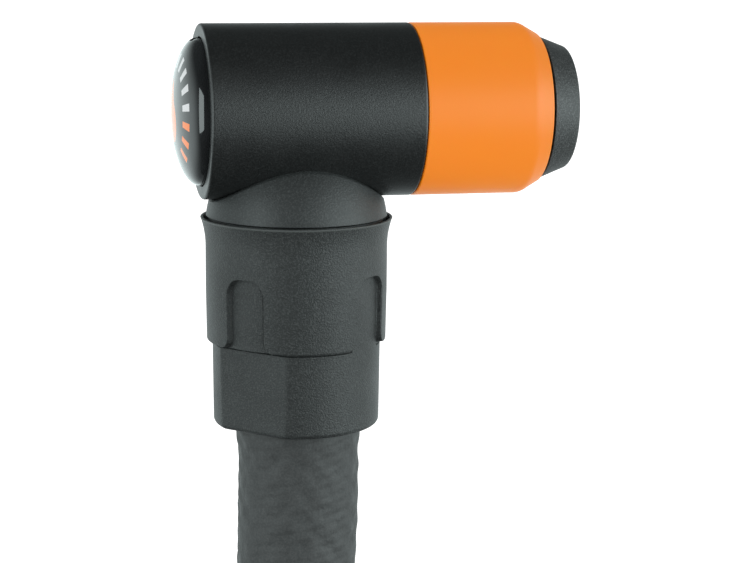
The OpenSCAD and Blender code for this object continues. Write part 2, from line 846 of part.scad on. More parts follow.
barrel_shell();
head_core();
badge_dome();
end_plug();
end_plug_seal();
neck();
neck_seal();
nose_cap();
valve_seal();
pin_guide();
pin_spring();
swivel_seal_upper();
swivel_seal_lower();
slide_ring();
clamp_piston();
piston_seal();
core_pin();
collar();
hose_nipple();
swivel_clip();
hose_ferrule();
hose_end();
hose_lead();
hose_coil();
hose_tie_upper();
hose_tie_lower();
hose_tail();
pump_ferrule();
pump_tailpiece();
pump_seal();
pump_nut();
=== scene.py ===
import math

import bpy
import numpy as np
from mathutils import Matrix, Vector


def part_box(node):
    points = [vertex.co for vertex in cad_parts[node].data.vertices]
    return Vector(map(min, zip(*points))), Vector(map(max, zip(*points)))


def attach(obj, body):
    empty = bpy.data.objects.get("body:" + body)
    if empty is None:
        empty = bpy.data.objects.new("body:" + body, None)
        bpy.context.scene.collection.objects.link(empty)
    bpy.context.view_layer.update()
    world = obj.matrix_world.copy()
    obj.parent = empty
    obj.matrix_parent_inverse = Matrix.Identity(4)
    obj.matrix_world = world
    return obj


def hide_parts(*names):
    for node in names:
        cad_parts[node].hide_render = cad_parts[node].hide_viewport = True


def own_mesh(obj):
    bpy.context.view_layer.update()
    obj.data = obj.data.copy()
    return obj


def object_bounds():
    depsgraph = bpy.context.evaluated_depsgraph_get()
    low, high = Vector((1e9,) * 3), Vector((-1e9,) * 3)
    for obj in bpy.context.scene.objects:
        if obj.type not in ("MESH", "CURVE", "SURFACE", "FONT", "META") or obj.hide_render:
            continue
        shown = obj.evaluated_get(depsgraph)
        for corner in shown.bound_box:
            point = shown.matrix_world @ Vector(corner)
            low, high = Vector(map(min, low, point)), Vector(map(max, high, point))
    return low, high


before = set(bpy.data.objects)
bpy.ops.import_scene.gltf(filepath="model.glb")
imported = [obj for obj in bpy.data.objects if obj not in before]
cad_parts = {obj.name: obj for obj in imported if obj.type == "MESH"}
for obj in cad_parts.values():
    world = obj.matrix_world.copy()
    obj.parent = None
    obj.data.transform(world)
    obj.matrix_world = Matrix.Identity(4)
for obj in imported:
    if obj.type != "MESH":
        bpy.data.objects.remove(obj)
cadLow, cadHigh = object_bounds()
mm = 0.001
tau = 2 * math.pi
scene = bpy.context.scene

# where the main pieces stand, read from the frame
shellLow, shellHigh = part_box("barrel_shell")
ringLow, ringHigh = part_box("slide_ring")
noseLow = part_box("nose_cap")[0]
collarLow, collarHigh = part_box("collar")
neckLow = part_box("neck")[0]
barrelRadius = shellHigh.z
neckX = (collarLow.x + collarHigh.x) / 2


cameraLook = {
    "azimuth": -12.76,  # degrees, 0 looks along +Y
    "elevation": 10.5,
    "roll": 0.5,
    "distance": 0.240,
    "target": (-0.02249, 0.0, -0.02031),
    "lens": 97.82,  # on a sensor 36 mm wide
}


def makeCamera(look):
    azimuth, elevation, roll = (math.radians(look[k]) for k in ("azimuth", "elevation", "roll"))
    back = Vector((math.sin(azimuth) * math.cos(elevation),
                   -math.cos(azimuth) * math.cos(elevation), math.sin(elevation)))
    level = Vector((math.cos(azimuth), math.sin(azimuth), 0))
    upright = back.cross(level)
    right = math.cos(roll) * level + math.sin(roll) * upright
    up = math.cos(roll) * upright - math.sin(roll) * level
    camera = bpy.data.objects.new("viewCamera", bpy.data.cameras.new("viewCamera"))
    scene.collection.objects.link(camera)
    place = Matrix((right, up, back)).transposed().to_4x4()
    place.translation = Vector(look["target"]) + look["distance"] * back
    camera.matrix_world = place
    camera.data.sensor_width = 36
    camera.data.lens = look["lens"]
    camera.data.clip_start, camera.data.clip_end = 0.01, 50
    scene.camera = camera


makeCamera(cameraLook)
print("camera ready")


def gridFaces(rows, columns, closedRows):
    # quads between rows of points; columns always close on themselves
    lastRow = rows if closedRows else rows - 1
    i, j = np.meshgrid(np.arange(lastRow), np.arange(columns), indexing="ij")
    k, below = (j + 1) % columns, (i + 1) % rows
    return np.stack([i * columns + j, i * columns + k, below * columns + k, below * columns + j],
                    axis=-1).reshape(-1, 4)


def newPiece(name, points, faces, body, uv=None):
    mesh = bpy.data.meshes.new(name)
    mesh.from_pydata(np.asarray(points).reshape(-1, 3).tolist(), [],
                     faces if isinstance(faces, list) else faces.tolist())
    if uv is not None:
        corners = np.zeros(len(mesh.loops), np.int32)
        mesh.loops.foreach_get("vertex_index", corners)
        layer = mesh.uv_layers.new(name="surface")
        layer.data.foreach_set("uv", uv.reshape(-1, 2)[corners].astype(np.float32).ravel())
    mesh.shade_smooth()
    mesh.update()
    piece = bpy.data.objects.new(name, mesh)
    scene.collection.objects.link(piece)
    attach(piece, body)
    return piece


def rounded(corners):
    # corners are (along, radius, fillet); each fillet becomes an arc, and a point close to
    # every arc's end keeps the shading of long flats clean
    steps, hold = 5, 0.06 * mm
    points, count = [], len(corners)
    for i, (x, r, fillet) in enumerate(corners):
        here = np.array([x, r])
        before = np.array(corners[i - 1][:2]) - here
        after = np.array(corners[(i + 1) % count][:2]) - here
        reachBefore, reachAfter = np.linalg.norm(before), np.linalg.norm(after)
        before, after = before / reachBefore, after / reachAfter
        half = math.acos(max(-1, min(1, float(before @ after)))) / 2
        run = min(fillet / math.tan(half), 0.45 * reachBefore, 0.45 * reachAfter)
        if run + hold < 0.49 * reachBefore:
            points.append(here + (run + hold) * before)
        bend = np.linspace(0, 1, steps + 1)[:, None]
        a, b = here + run * before, here + run * after
        radius = run * math.tan(half)
        middle = here + (before + after) / np.linalg.norm(before + after) * radius / math.sin(half)
        fromA, fromB = a - middle, b - middle
        spread = math.pi - 2 * half
        arc = middle + (np.sin((1 - bend) * spread) * fromA + np.sin(bend * spread) * fromB) \
            / math.sin(spread)
        points.extend(arc)
        if run + hold < 0.49 * reachAfter:
            points.append(here + (run + hold) * after)
    return np.array(points)


def turnedPoints(profile, sides, axis, centre):
    # every profile point (along, radius) goes round the axis: centre + along * axis
    # + radius * (cos t * u + sin t * v)
    axis = np.array(axis, float)
    u = np.array([0, 0, 1.0]) if abs(axis[2]) < 0.5 else np.array([1.0, 0, 0])
    v = np.cross(axis, u)
    t = np.linspace(0, tau, sides, endpoint=False)
    ring = np.cos(t)[:, None] * u + np.sin(t)[:, None] * v
    return (np.array(centre) + profile[:, 0, None, None] * axis
            + profile[:, 1, None, None] * ring[None])


def turnedPiece(name, corners, body, axis=(1, 0, 0), centre=(0, 0, 0), sides=192):
    # a closed solid of turning; its corners run so that the surface faces outwards
    profile = rounded(corners)
    points = turnedPoints(profile, sides, axis, centre)
    return newPiece(name, points, gridFaces(len(profile), sides, True), body)


def smoothStep(x):
    x = np.clip(x, 0, 1)
    return x * x * (3 - 2 * x)


def softMin(a, b, k):
    # the smaller of two fields, rounded over k where they cross
    h = np.clip(0.5 + 0.5 * (b - a) / k, 0, 1)
    return b * (1 - h) + a * h - k * h * (1 - h)


hoseSize = {
    "radius": 7.08 * mm,
    "bore": 3.25 * mm,
    "swell": 0.25 * mm,  # wider by this much where it leaves the collar
    "startZ": collarLow.z + 11.7 * mm,
    "boreDepth": 11.9 * mm,
    "route": [(0, -0.022), (-0.004, -0.046), (-0.0165, -0.067), (-0.035, -0.0825)],
    "coilRadius": 70 * mm,
    "coilPitch": 15.2 * mm,
    "coilFrom": 120,  # degrees, from +X towards +Z
    "coilTurn": 780,
    "leadIn": 14 * mm,  # straight before the coil
    "lean": 0.25 * mm,  # the hose stands this much off the collar's axis where it comes out
    "tailRun": 21 * mm,  # straight after the coil, up to the pump ferrule
    "tailGrip": 10.5 * mm,  # inside the pump ferrule
    "braidStep": 3.4 * mm,  # reinforcement that shows through the rubber
    "braidStrands": 13,
    "braidHeight": 0.075 * mm,
    "fineRun": 22 * mm,  # finely meshed up to here below the collar
    "fineStep": 0.27 * mm,
    "fineSides": 180,
    "coarseStep": 0.95 * mm,
    "coarseSides": 60,
}


def clampedSpline(knots, startWay, endWay, spacing):
    # cubic spline through the knots with given directions at both ends
    knots = np.array(knots, float)
    chord = np.linalg.norm(np.diff(knots, axis=0), axis=1)
    count = len(knots)
    system, right = np.zeros((count, count)), np.zeros((count, knots.shape[1]))
    system[0, 0] = system[-1, -1] = 1
    right[0], right[-1] = startWay, endWay
    for i in range(1, count - 1):
        a, b = chord[i - 1], chord[i]
        system[i, i - 1], system[i, i], system[i, i + 1] = b, 2 * (a + b), a
        right[i] = 3 * (b / a * (knots[i] - knots[i - 1]) + a / b * (knots[i + 1] - knots[i]))
    slope = np.linalg.solve(system, right)
    pieces = []
    for i in range(count - 1):
        t = np.linspace(0, 1, max(2, int(chord[i] / spacing)), endpoint=False)[:, None]
        pieces.append((2 * t**3 - 3 * t**2 + 1) * knots[i]
                      + (t**3 - 2 * t**2 + t) * chord[i] * slope[i]
                      + (3 * t**2 - 2 * t**3) * knots[i + 1]
                      + (t**3 - t**2) * chord[i] * slope[i + 1])
    return np.concatenate(pieces)


def hosePath(size):
    # down out of the collar, across to the coil on a smooth curve, round the coil and on
    spacing = 0.5 * mm
    first = size["route"][0]
    straight = np.arange(size["startZ"], collarLow.z + first[1], -spacing)
    down = np.stack([0 * straight + neckX, 0 * straight, straight], axis=1)
    angle0 = math.radians(size["coilFrom"])
    angle1 = angle0 + math.radians(size["coilTurn"])
    heading0 = np.array([-math.sin(angle0), 0, math.cos(angle0)])
    heading1 = np.array([-math.sin(angle1), 0, math.cos(angle1)])
    knots = [(neckX + x, 0, collarLow.z + z) for x, z in size["route"]]
    across = clampedSpline(knots, (0, 0, -1), heading0, spacing)
    coilIn = np.array(knots[-1])
    steps = np.arange(0, size["leadIn"], spacing)[:, None]
    centre = coilIn + size["leadIn"] * heading0 \
        - size["coilRadius"] * np.array([math.cos(angle0), 0, math.sin(angle0)])
    a = np.arange(angle0, angle1, spacing / size["coilRadius"])
    turns = centre + np.stack([size["coilRadius"] * np.cos(a),
                               size["coilPitch"] * (a - angle0) / tau,
                               size["coilRadius"] * np.sin(a)], axis=1)
    tail = np.arange(0, size["tailRun"] + size["tailGrip"], spacing)[:, None]
    coilOut = centre + np.array([size["coilRadius"] * math.cos(angle1),
                                 size["coilPitch"] * (angle1 - angle0) / tau,
                                 size["coilRadius"] * math.sin(angle1)])
    path = np.concatenate([down, across, coilIn + steps * heading0, turns,
                           coilOut + tail * heading1])
    below = collarLow.z - path[:, 2]
    path[:, 0] += size["lean"] * smoothStep((below + 3 * mm) / (5 * mm)) \
        * (1 - smoothStep((below - 10 * mm) / (12 * mm)))
    window = np.hanning(27)[1:-1]
    soft = np.stack([np.convolve(path[:, k], window / window.sum(), mode="same") for k in range(3)],
                    axis=1)
    keep = len(window)
    path[keep:-keep] = soft[keep:-keep]
    return path, centre


def along(path, at):
    # points and directions of a path at the arc lengths asked for, or else its whole length
    step = np.linalg.norm(np.diff(path, axis=0), axis=1)
    length = np.concatenate([[0], np.cumsum(step)])
    if at is None:
        return length[-1]
    place = np.stack([np.interp(at, length, path[:, k]) for k in range(3)], axis=1)
    near = 0.6 * mm
    ahead = np.stack([np.interp(at + near, length, path[:, k]) for k in range(3)], axis=1)
    behind = np.stack([np.interp(at - near, length, path[:, k]) for k in range(3)], axis=1)
    way = ahead - behind
    return place, way / np.linalg.norm(way, axis=1)[:, None]


def braidRelief(s, t, size):
    # two crossing families of strands, one stronger, and slow unevenness:
    # cos(ks + nt), cos(ks - nt) and a few low waves
    k, n = tau / size["braidStep"], size["braidStrands"]
    uneven = 1 + 0.6 * np.sin(2 * t - s / (1.9 * mm)) * np.sin(3 * t + s / (3.1 * mm) + 0.7)
    weave = uneven * (0.5 * np.cos(k * s + n * t) + 0.4 * np.cos(k * s - n * t))
    slow = 0.45 * np.sin(2 * t + s / (2.9 * mm)) + 0.4 * np.sin(3 * t - s / (4.7 * mm) + 1.1)
    return size["braidHeight"] * (weave + slow)


def makeHose(size):
    path, centre = hosePath(size)
    total = along(path, None)
    exitAt = size["startZ"] - collarLow.z
    fineTo = exitAt + size["fineRun"]
    fineSides, coarseSides = size["fineSides"], size["coarseSides"]
    fineAt = np.concatenate([np.linspace(0, exitAt - 1 * mm, 6, endpoint=False),
                             np.arange(exitAt - 1 * mm, fineTo, size["fineStep"])])
    coarseAt = np.linspace(fineTo + 0.5 * mm, total, int((total - fineTo) / size["coarseStep"]))

    def rings(at, sides, radius, relief):
        # ring points: path + radius * (cos t * n + sin t * b), b near +Y
        place, way = along(path, at)
        b = np.array([0, 1.0, 0]) - way[:, 1, None] * way
        b = b / np.linalg.norm(b, axis=1)[:, None]
        n = np.cross(b, way)
        t = np.linspace(0, tau, sides, endpoint=False)
        s = at[:, None]
        r = radius + relief * braidRelief(s, t[None], size)
        swell = size["swell"] * (1 - smoothStep((s - exitAt - 0.9 * mm) / (3.2 * mm)))
        r = r + swell * smoothStep((s - exitAt + 2.2 * mm) / (1 * mm))
        points = place[:, None] + r[..., None] * (np.cos(t)[None, :, None] * n[:, None]
                                                  + np.sin(t)[None, :, None] * b[:, None])
        uv = np.stack(np.broadcast_arrays(t[None] / tau, s / (tau * size["radius"])), axis=-1)
        return points, uv

    fine, fineUv = rings(fineAt, fineSides, size["radius"], smoothStep((fineAt - exitAt + 3 * mm)
                                                                       / (3 * mm))[:, None])
    endFade = smoothStep((total - size["tailGrip"] - coarseAt) / (3 * mm))[:, None]
    coarse, coarseUv = rings(coarseAt, coarseSides, size["radius"], endFade)
    boreIn = np.linspace(size["boreDepth"], 0, 3)
    innerA, innerAUv = rings(boreIn, fineSides, size["bore"], 0)
    boreOut = total - np.linspace(0, size["boreDepth"], 3)
    innerB, innerBUv = rings(boreOut, coarseSides, size["bore"], 0)
    groups = [innerA, fine, coarse, innerB]
    starts = np.cumsum([0] + [g.shape[0] * g.shape[1] for g in groups])
    faces = []
    for g, start in zip(groups, starts):
        faces += (gridFaces(g.shape[0], g.shape[1], False) + start).tolist()
    j = np.arange(fineSides)
    lastInner, firstFine = starts[1] - fineSides, starts[1]
    faces += np.stack([lastInner + j, lastInner + (j + 1) % fineSides,
                       firstFine + (j + 1) % fineSides, firstFine + j], axis=1).tolist()
    lastFine, firstCoarse = starts[2] - fineSides, starts[2]
    share = fineSides // coarseSides
    for c in range(coarseSides):  # each coarse side meets three fine ones
        fineRun = [lastFine + (c * share + m) % fineSides for m in range(share + 1)]
        faces.append([firstCoarse + (c + 1) % coarseSides, firstCoarse + c] + fineRun)
    j = np.arange(coarseSides)
    lastCoarse, firstOut = starts[3] - coarseSides, starts[3]
    faces += np.stack([lastCoarse + j, lastCoarse + (j + 1) % coarseSides,
                       firstOut + (j + 1) % coarseSides, firstOut + j], axis=1).tolist()
    faces.append(list(range(fineSides))[::-1])
    faces.append(list(range(starts[4] - coarseSides, starts[4])))
    points = np.concatenate([g.reshape(-1, 3) for g in groups])
    uv = np.concatenate([u.reshape(-1, 2) for u in (innerAUv, fineUv, coarseUv, innerBUv)])
    hose = newPiece("airHose", points, faces, "hose", uv)
    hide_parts("hose_end", "hose_lead", "hose_coil", "hose_tail")
    exitPoint = (neckX, 0, collarLow.z)
    marks = np.concatenate([np.arange(0, 0.1, 4 * mm), np.linspace(0.104, total, 150)])
    return hose, exitPoint, total, along(path, marks)[0], centre


hose, hoseExit, hoseLength, hoseMarks, coilCentre = makeHose(hoseSize)
print("hose ready, length", round(hoseLength, 3))


def newMaterial(name):
    material = bpy.data.materials.new(name)
    material.use_nodes = True
    nodes = material.node_tree.nodes
    nodes.clear()
    shader = nodes.new("ShaderNodeBsdfPrincipled")
    output = nodes.new("ShaderNodeOutputMaterial")
    material.node_tree.links.new(shader.outputs["BSDF"], output.inputs["Surface"])
    return material, nodes, material.node_tree.links, shader


def noiseNode(nodes, links, vector, featureSize, detail=2.0, roughness=0.5):
    noise = nodes.new("ShaderNodeTexNoise")
    noise.inputs["Scale"].default_value = 1 / featureSize
    noise.inputs["Detail"].default_value = detail
    noise.inputs["Roughness"].default_value = roughness
    links.new(vector, noise.inputs["Vector"])
    return noise.outputs["Fac"]


def mathNode(nodes, links, operation, *values):
    node = nodes.new("ShaderNodeMath")
    node.operation = operation
    for socket, value in zip(node.inputs, values):
        if isinstance(value, (int, float)):
            socket.default_value = value
        else:
            links.new(value, socket)
    return node.outputs[0]


def rangeNode(nodes, links, value, fromLow, fromHigh, toLow, toHigh, kind="LINEAR"):
    ranged = nodes.new("ShaderNodeMapRange")
    ranged.interpolation_type = kind
    for key, number in (("From Min", fromLow), ("From Max", fromHigh), ("To Min", toLow),
                        ("To Max", toHigh)):
        ranged.inputs[key].default_value = number
    links.new(value, ranged.inputs["Value"])
    return ranged.outputs["Result"]


def mixColour(nodes, links, factor, a, b):
    mix = nodes.new("ShaderNodeMix")
    mix.data_type = "RGBA"
    links.new(factor, mix.inputs["Factor"])
    for socket, colour in (("A", a), ("B", b)):
        entry = [s for s in mix.inputs if s.name == socket and s.type == "RGBA"][0]
        if isinstance(colour, tuple):
            entry.default_value = (*colour, 1)
        else:
            links.new(colour, entry)
    return [s for s in mix.outputs if s.type == "RGBA"][0]


def bumpNode(nodes, links, height, depth, strength=1.0, normal=None):
    bump = nodes.new("ShaderNodeBump")
    bump.inputs["Distance"].default_value = depth
    bump.inputs["Strength"].default_value = strength
    links.new(height, bump.inputs["Height"])
    if normal is not None:
        links.new(normal, bump.inputs["Normal"])
    return bump.outputs["Normal"]


def mouldedPlastic(name, look):
    # moulded plastic with a spark-eroded grain: fine bumps, paler tips and slow uneven sheen; where
    # asked, a painted highlight along the upper edge
    material, nodes, links, shader = newMaterial(name)
    spot = nodes.new("ShaderNodeTexCoord").outputs["Object"]
    grain = noiseNode(nodes, links, spot, look["grain"], 1.5, 0.6)
    cloud = noiseNode(nodes, links, spot, look["cloud"], 3.0)
    tips = rangeNode(nodes, links, grain, 0.45, 0.75, 0, look["tips"])
    base = mixColour(nodes, links, cloud, look["colour"], look["shade"])
    surface = mixColour(nodes, links, tips, base, look["tipColour"])
    if "lip" in look:  # painted highlight: paler towards the upper edge, standing in for light caught by the lip's top edge
        top, width = look["lip"]
        split = nodes.new("ShaderNodeSeparateXYZ")
        links.new(spot, split.inputs["Vector"])
        paintedLipHighlight = rangeNode(nodes, links, split.outputs["Z"], top - width, top - 0.4 * width, 0, 0.8)
        surface = mixColour(nodes, links, paintedLipHighlight, surface, look["tipColour"])
    links.new(surface, shader.inputs["Base Color"])
    links.new(rangeNode(nodes, links, cloud, 0.3, 0.7, look["roughness"] - 0.03,
                        look["roughness"] + 0.04), shader.inputs["Roughness"])
    links.new(bumpNode(nodes, links, grain, look["depth"]), shader.inputs["Normal"])
    shader.inputs["Specular IOR Level"].default_value = look.get("gloss", 0.5)
    return material


def machinedMetal(name, look):
    # turned or drawn metal: fine streaks round one axis, slightly uneven roughness
    material, nodes, links, shader = newMaterial(name)
    spot = nodes.new("ShaderNodeTexCoord").outputs["Object"]
    stretch = nodes.new("ShaderNodeMapping")
    stretch.inputs["Scale"].default_value = look["stretch"]
    links.new(spot, stretch.inputs["Vector"])
    streak = noiseNode(nodes, links, stretch.outputs["Vector"], look["streak"], 3.0, 0.6)
    cloud = noiseNode(nodes, links, spot, 4 * mm, 2.0)
    links.new(mixColour(nodes, links, cloud, look["colour"], look["shade"]),
              shader.inputs["Base Color"])
    links.new(rangeNode(nodes, links, streak, 0.3, 0.7, look["roughness"] - 0.06,
                        look["roughness"] + 0.08), shader.inputs["Roughness"])
    links.new(bumpNode(nodes, links, streak, look["depth"]), shader.inputs["Normal"])
    shader.inputs["Metallic"].default_value = 1.0
    return material


shellPlastic = mouldedPlastic("shellPlastic", {
    "colour": (0.0045, 0.0070, 0.0070), "shade": (0.0036, 0.0058, 0.0058),
    "tipColour": (0.03, 0.038, 0.038), "tips": 0.4, "grain": 0.2 * mm, "cloud": 5 * mm,
    "roughness": 0.45, "depth": 0.021 * mm, "gloss": 0.75})
neckPlastic = mouldedPlastic("neckPlastic", {
    "colour": (0.018, 0.024, 0.024), "shade": (0.015, 0.020, 0.020),
    "tipColour": (0.08, 0.095, 0.095), "tips": 0.36, "grain": 0.19 * mm, "cloud": 6 * mm,
    "roughness": 0.54, "depth": 0.035 * mm})
nosePlastic = mouldedPlastic("nosePlastic", {
    "colour": (0.023, 0.029, 0.029), "shade": (0.019, 0.024, 0.024),
    "tipColour": (0.12, 0.135, 0.135), "tips": 0.55, "grain": 0.19 * mm, "cloud": 5 * mm,
    "roughness": 0.54, "depth": 0.06 * mm})
# the lip entry paints a paler band along the collar's top edge: a painted highlight
collarPlastic = mouldedPlastic("collarPlastic", {
    "colour": (0.0115, 0.0155, 0.0155), "shade": (0.0095, 0.0130, 0.0130),
    "tipColour": (0.08, 0.095, 0.092), "tips": 0.42, "grain": 0.18 * mm, "cloud": 6 * mm,
    "roughness": 0.54, "depth": 0.09 * mm, "lip": (collarHigh.z, 0.3 * mm)})
corePlastic = mouldedPlastic("corePlastic", {
    "colour": (0.05, 0.055, 0.06), "shade": (0.043, 0.048, 0.052),
    "tipColour": (0.08, 0.085, 0.09), "tips": 0.2, "grain": 0.5 * mm, "cloud": 5 * mm,
    "roughness": 0.4, "depth": 0.004 * mm})
sealRubber = mouldedPlastic("sealRubber", {
    "colour": (0.012, 0.012, 0.0125), "shade": (0.008, 0.008, 0.008),
    "tipColour": (0.03, 0.03, 0.03), "tips": 0.3, "grain": 0.35 * mm, "cloud": 2 * mm,
    "roughness": 0.62, "depth": 0.006 * mm})
washerFibre = mouldedPlastic("washerFibre", {
    "colour": (0.36, 0.05, 0.025), "shade": (0.30, 0.04, 0.02),
    "tipColour": (0.45, 0.12, 0.07), "tips": 0.5, "grain": 0.3 * mm, "cloud": 1.5 * mm,
    "roughness": 0.75, "depth": 0.02 * mm})
brassMetal = machinedMetal("brassMetal", {
    "colour": (0.62, 0.42, 0.15), "shade": (0.54, 0.36, 0.12), "roughness": 0.28,
    "streak": 0.12 * mm, "stretch": (0.15, 0.15, 1), "depth": 0.002 * mm})
pinBrass = machinedMetal("pinBrass", {
    "colour": (0.62, 0.42, 0.15), "shade": (0.54, 0.36, 0.12), "roughness": 0.28,
    "streak": 0.12 * mm, "stretch": (1, 0.15, 0.15), "depth": 0.002 * mm})
springSteel = machinedMetal("springSteel", {
    "colour": (0.56, 0.56, 0.56), "shade": (0.48, 0.48, 0.49), "roughness": 0.25,
    "streak": 0.1 * mm, "stretch": (1, 0.3, 0.3), "depth": 0.001 * mm})
ferruleAluminium = machinedMetal("ferruleAluminium", {
    "colour": (0.60, 0.61, 0.62), "shade": (0.52, 0.53, 0.54), "roughness": 0.36,
    "streak": 0.15 * mm, "stretch": (0.12, 0.12, 1), "depth": 0.003 * mm})
nutPlating = machinedMetal("nutPlating", {
    "colour": (0.63, 0.61, 0.57), "shade": (0.56, 0.54, 0.51), "roughness": 0.2,
    "streak": 0.2 * mm, "stretch": (0.3, 0.3, 1), "depth": 0.002 * mm})


orangeLook = {"colour": (0.94, 0.248, 0.002), "shade": (0.91, 0.238, 0.002), "cloud": 7 * mm,
              "roughness": (0.42, 0.47), "polish": 0.16 * mm, "depth": 0.003 * mm, "gloss": 0.34,
              "glow": 0.15, "glowReach": (1.0, 0.35, 0.1), "glowScale": 0.8 * mm}


def orangePlastic(look):
    # satin orange, faintly translucent, with a very fine polish texture
    material, nodes, links, shader = newMaterial("ringOrange")
    spot = nodes.new("ShaderNodeTexCoord").outputs["Object"]
    fine = noiseNode(nodes, links, spot, look["polish"], 1.0)
    cloud = noiseNode(nodes, links, spot, look["cloud"], 2.0)
    links.new(mixColour(nodes, links, cloud, look["colour"], look["shade"]),
              shader.inputs["Base Color"])
    links.new(rangeNode(nodes, links, cloud, 0.3, 0.7, *look["roughness"]),
              shader.inputs["Roughness"])
    links.new(bumpNode(nodes, links, fine, look["depth"]), shader.inputs["Normal"])
    shader.inputs["Specular IOR Level"].default_value = look["gloss"]
    shader.inputs["Subsurface Weight"].default_value = look["glow"]
    shader.inputs["Subsurface Radius"].default_value = look["glowReach"]
    shader.inputs["Subsurface Scale"].default_value = look["glowScale"]
    return material


rubberLook = {"colour": (0.016, 0.020, 0.020), "shade": (0.044, 0.052, 0.052),
              "dust": (0.10, 0.11, 0.11), "dustShare": 0.3, "grain": 0.22 * mm,
              "cloud": 1.8 * mm, "roughness": (0.6, 0.68), "gloss": 0.5,
              "ridges": (-7, 38),  # how often they wind round, over one girth of length
              "ridgeDeep": 0.016 * mm, "lumpDeep": 0.25 * mm, "grainDeep": 0.01 * mm}


def hoseRubberMaterial(look):
    # matte rubber: fine ridges that cross the braid, dusty high spots, dull sheen
    material, nodes, links, shader = newMaterial("hoseRubber")
    coordinates = nodes.new("ShaderNodeTexCoord")
    spot = coordinates.outputs["Object"]
    spread = nodes.new("ShaderNodeSeparateXYZ")
    links.new(coordinates.outputs["UV"], spread.inputs["Vector"])

    def strand(turns, lengths):
        # sin(turns * u + lengths * v), over one turn of the hose and one girth of its length
        a = mathNode(nodes, links, "MULTIPLY", spread.outputs["X"], tau * turns)
        b = mathNode(nodes, links, "MULTIPLY_ADD", spread.outputs["Y"], tau * lengths, a)
        return mathNode(nodes, links, "SINE", b)

    ridge = strand(*look["ridges"])
    grain = noiseNode(nodes, links, spot, look["grain"], 2.0)
    cloud = noiseNode(nodes, links, spot, look["cloud"], 2.5)
    base = mixColour(nodes, links, cloud, look["colour"], look["shade"])
    dusty = rangeNode(nodes, links, grain, 0.4, 0.8, 0, look["dustShare"])
    links.new(mixColour(nodes, links, dusty, base, look["dust"]), shader.inputs["Base Color"])
    links.new(rangeNode(nodes, links, cloud, 0.3, 0.7, *look["roughness"]),
              shader.inputs["Roughness"])
    lumps = bumpNode(nodes, links, cloud, look["lumpDeep"])
    ridges = bumpNode(nodes, links, ridge, look["ridgeDeep"], 1.0, lumps)
    links.new(bumpNode(nodes, links, grain, look["grainDeep"], 1.0, ridges),
              shader.inputs["Normal"])
    shader.inputs["Specular IOR Level"].default_value = look["gloss"]
    return material


webbingLook = {"colour": (0.010, 0.0105, 0.011), "shade": (0.040, 0.041, 0.043),
               "fuzz": 0.3 * mm, "patch": 2.5 * mm, "roughness": (0.85, 0.95),
               "depth": 0.12 * mm, "sheen": 0.3, "sheenRoughness": 0.5}


def strapMaterial(look):
    # hook-and-loop webbing: short fuzz over a fine rib
    material, nodes, links, shader = newMaterial("strapFabric")
    spot = nodes.new("ShaderNodeTexCoord").outputs["Object"]
    fuzz = noiseNode(nodes, links, spot, look["fuzz"], 4.0, 0.7)
    patch = noiseNode(nodes, links, spot, look["patch"], 2.0)
    links.new(mixColour(nodes, links, fuzz, look["colour"], look["shade"]),
              shader.inputs["Base Color"])
    links.new(rangeNode(nodes, links, patch, 0.3, 0.7, *look["roughness"]),
              shader.inputs["Roughness"])
    links.new(bumpNode(nodes, links, fuzz, look["depth"]), shader.inputs["Normal"])
    shader.inputs["Sheen Weight"].default_value = look["sheen"]
    shader.inputs["Sheen Roughness"].default_value = look["sheenRoughness"]
    return material


ringOrange = orangePlastic(orangeLook)
hoseRubber = hoseRubberMaterial(rubberLook)
strapFabric = strapMaterial(webbingLook)
hose.data.materials.append(hoseRubber)
print("materials ready")


barrelLook = {"wall": 1.5 * mm, "edge": 0.3 * mm}
shell = turnedPiece("barrelShell", [
    (shellLow.x, barrelRadius - barrelLook["wall"], 0.1 * mm),
    (shellLow.x, barrelRadius, barrelLook["edge"]),
    (shellHigh.x, barrelRadius, barrelLook["edge"]),
    (shellHigh.x, barrelRadius - barrelLook["wall"], 0.1 * mm)], "head")
shell.data.materials.append(shellPlastic)
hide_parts("barrel_shell")

ringLook = {"wall": 1.5 * mm, "backEdge": 0.2 * mm, "shoulder": 2.1 * mm, "drop": 1.2 * mm,
            "bend": 1.8 * mm}


def makeRing(look):
    # cylinder with a softly rounded, nearly straight shoulder that ends in a thin front edge
    corners = [(ringLow.x, barrelRadius - look["wall"], 0.1 * mm),
               (ringLow.x, barrelRadius, look["backEdge"]),
               (ringHigh.x - look["shoulder"], barrelRadius, look["bend"]),
               (ringHigh.x, barrelRadius - look["drop"], 0.04 * mm),
               (ringHigh.x, barrelRadius - look["wall"], 0.02 * mm)]
    ring = turnedPiece("slideRing", corners, "lock_ring")
    ring.data.materials.append(ringOrange)
    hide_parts("slide_ring")


makeRing(ringLook)

noseLook = {"foot": 8.4 * mm, "tip": 7.12 * mm, "tipRound": 0.5 * mm, "socket": 4.2 * mm,
            "mouth": 0.45 * mm, "skirtOut": 6.55 * mm, "skirtIn": 5.9 * mm, "length": 3.7 * mm,
            "groove": (0.36 * mm, 0.8 * mm)}  # width and depth of the dark gap behind the cone


def makeNose(look):
    # a cone with the valve's socket in it, on a skirt that goes back into the barrel
    back, foot = -look["length"], look["foot"]
    wide, deep = look["groove"]
    nose = turnedPiece("noseCap", [
        (noseLow.x, look["skirtOut"], 0.05 * mm), (back, look["skirtOut"], 0.05 * mm),
        (back, foot - deep, 0.03 * mm), (back + wide, foot - deep, 0.03 * mm),
        (back + wide, foot, 0.06 * mm), (0, look["tip"], look["tipRound"]),
        (0, look["socket"], look["mouth"]), (back, look["socket"], 0.05 * mm),
        (back, look["skirtIn"], 0.05 * mm), (noseLow.x, look["skirtIn"], 0.05 * mm)],
        "head")
    nose.data.materials.append(nosePlastic)
    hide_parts("nose_cap")


makeNose(noseLook)
print("barrel, ring and nose ready")


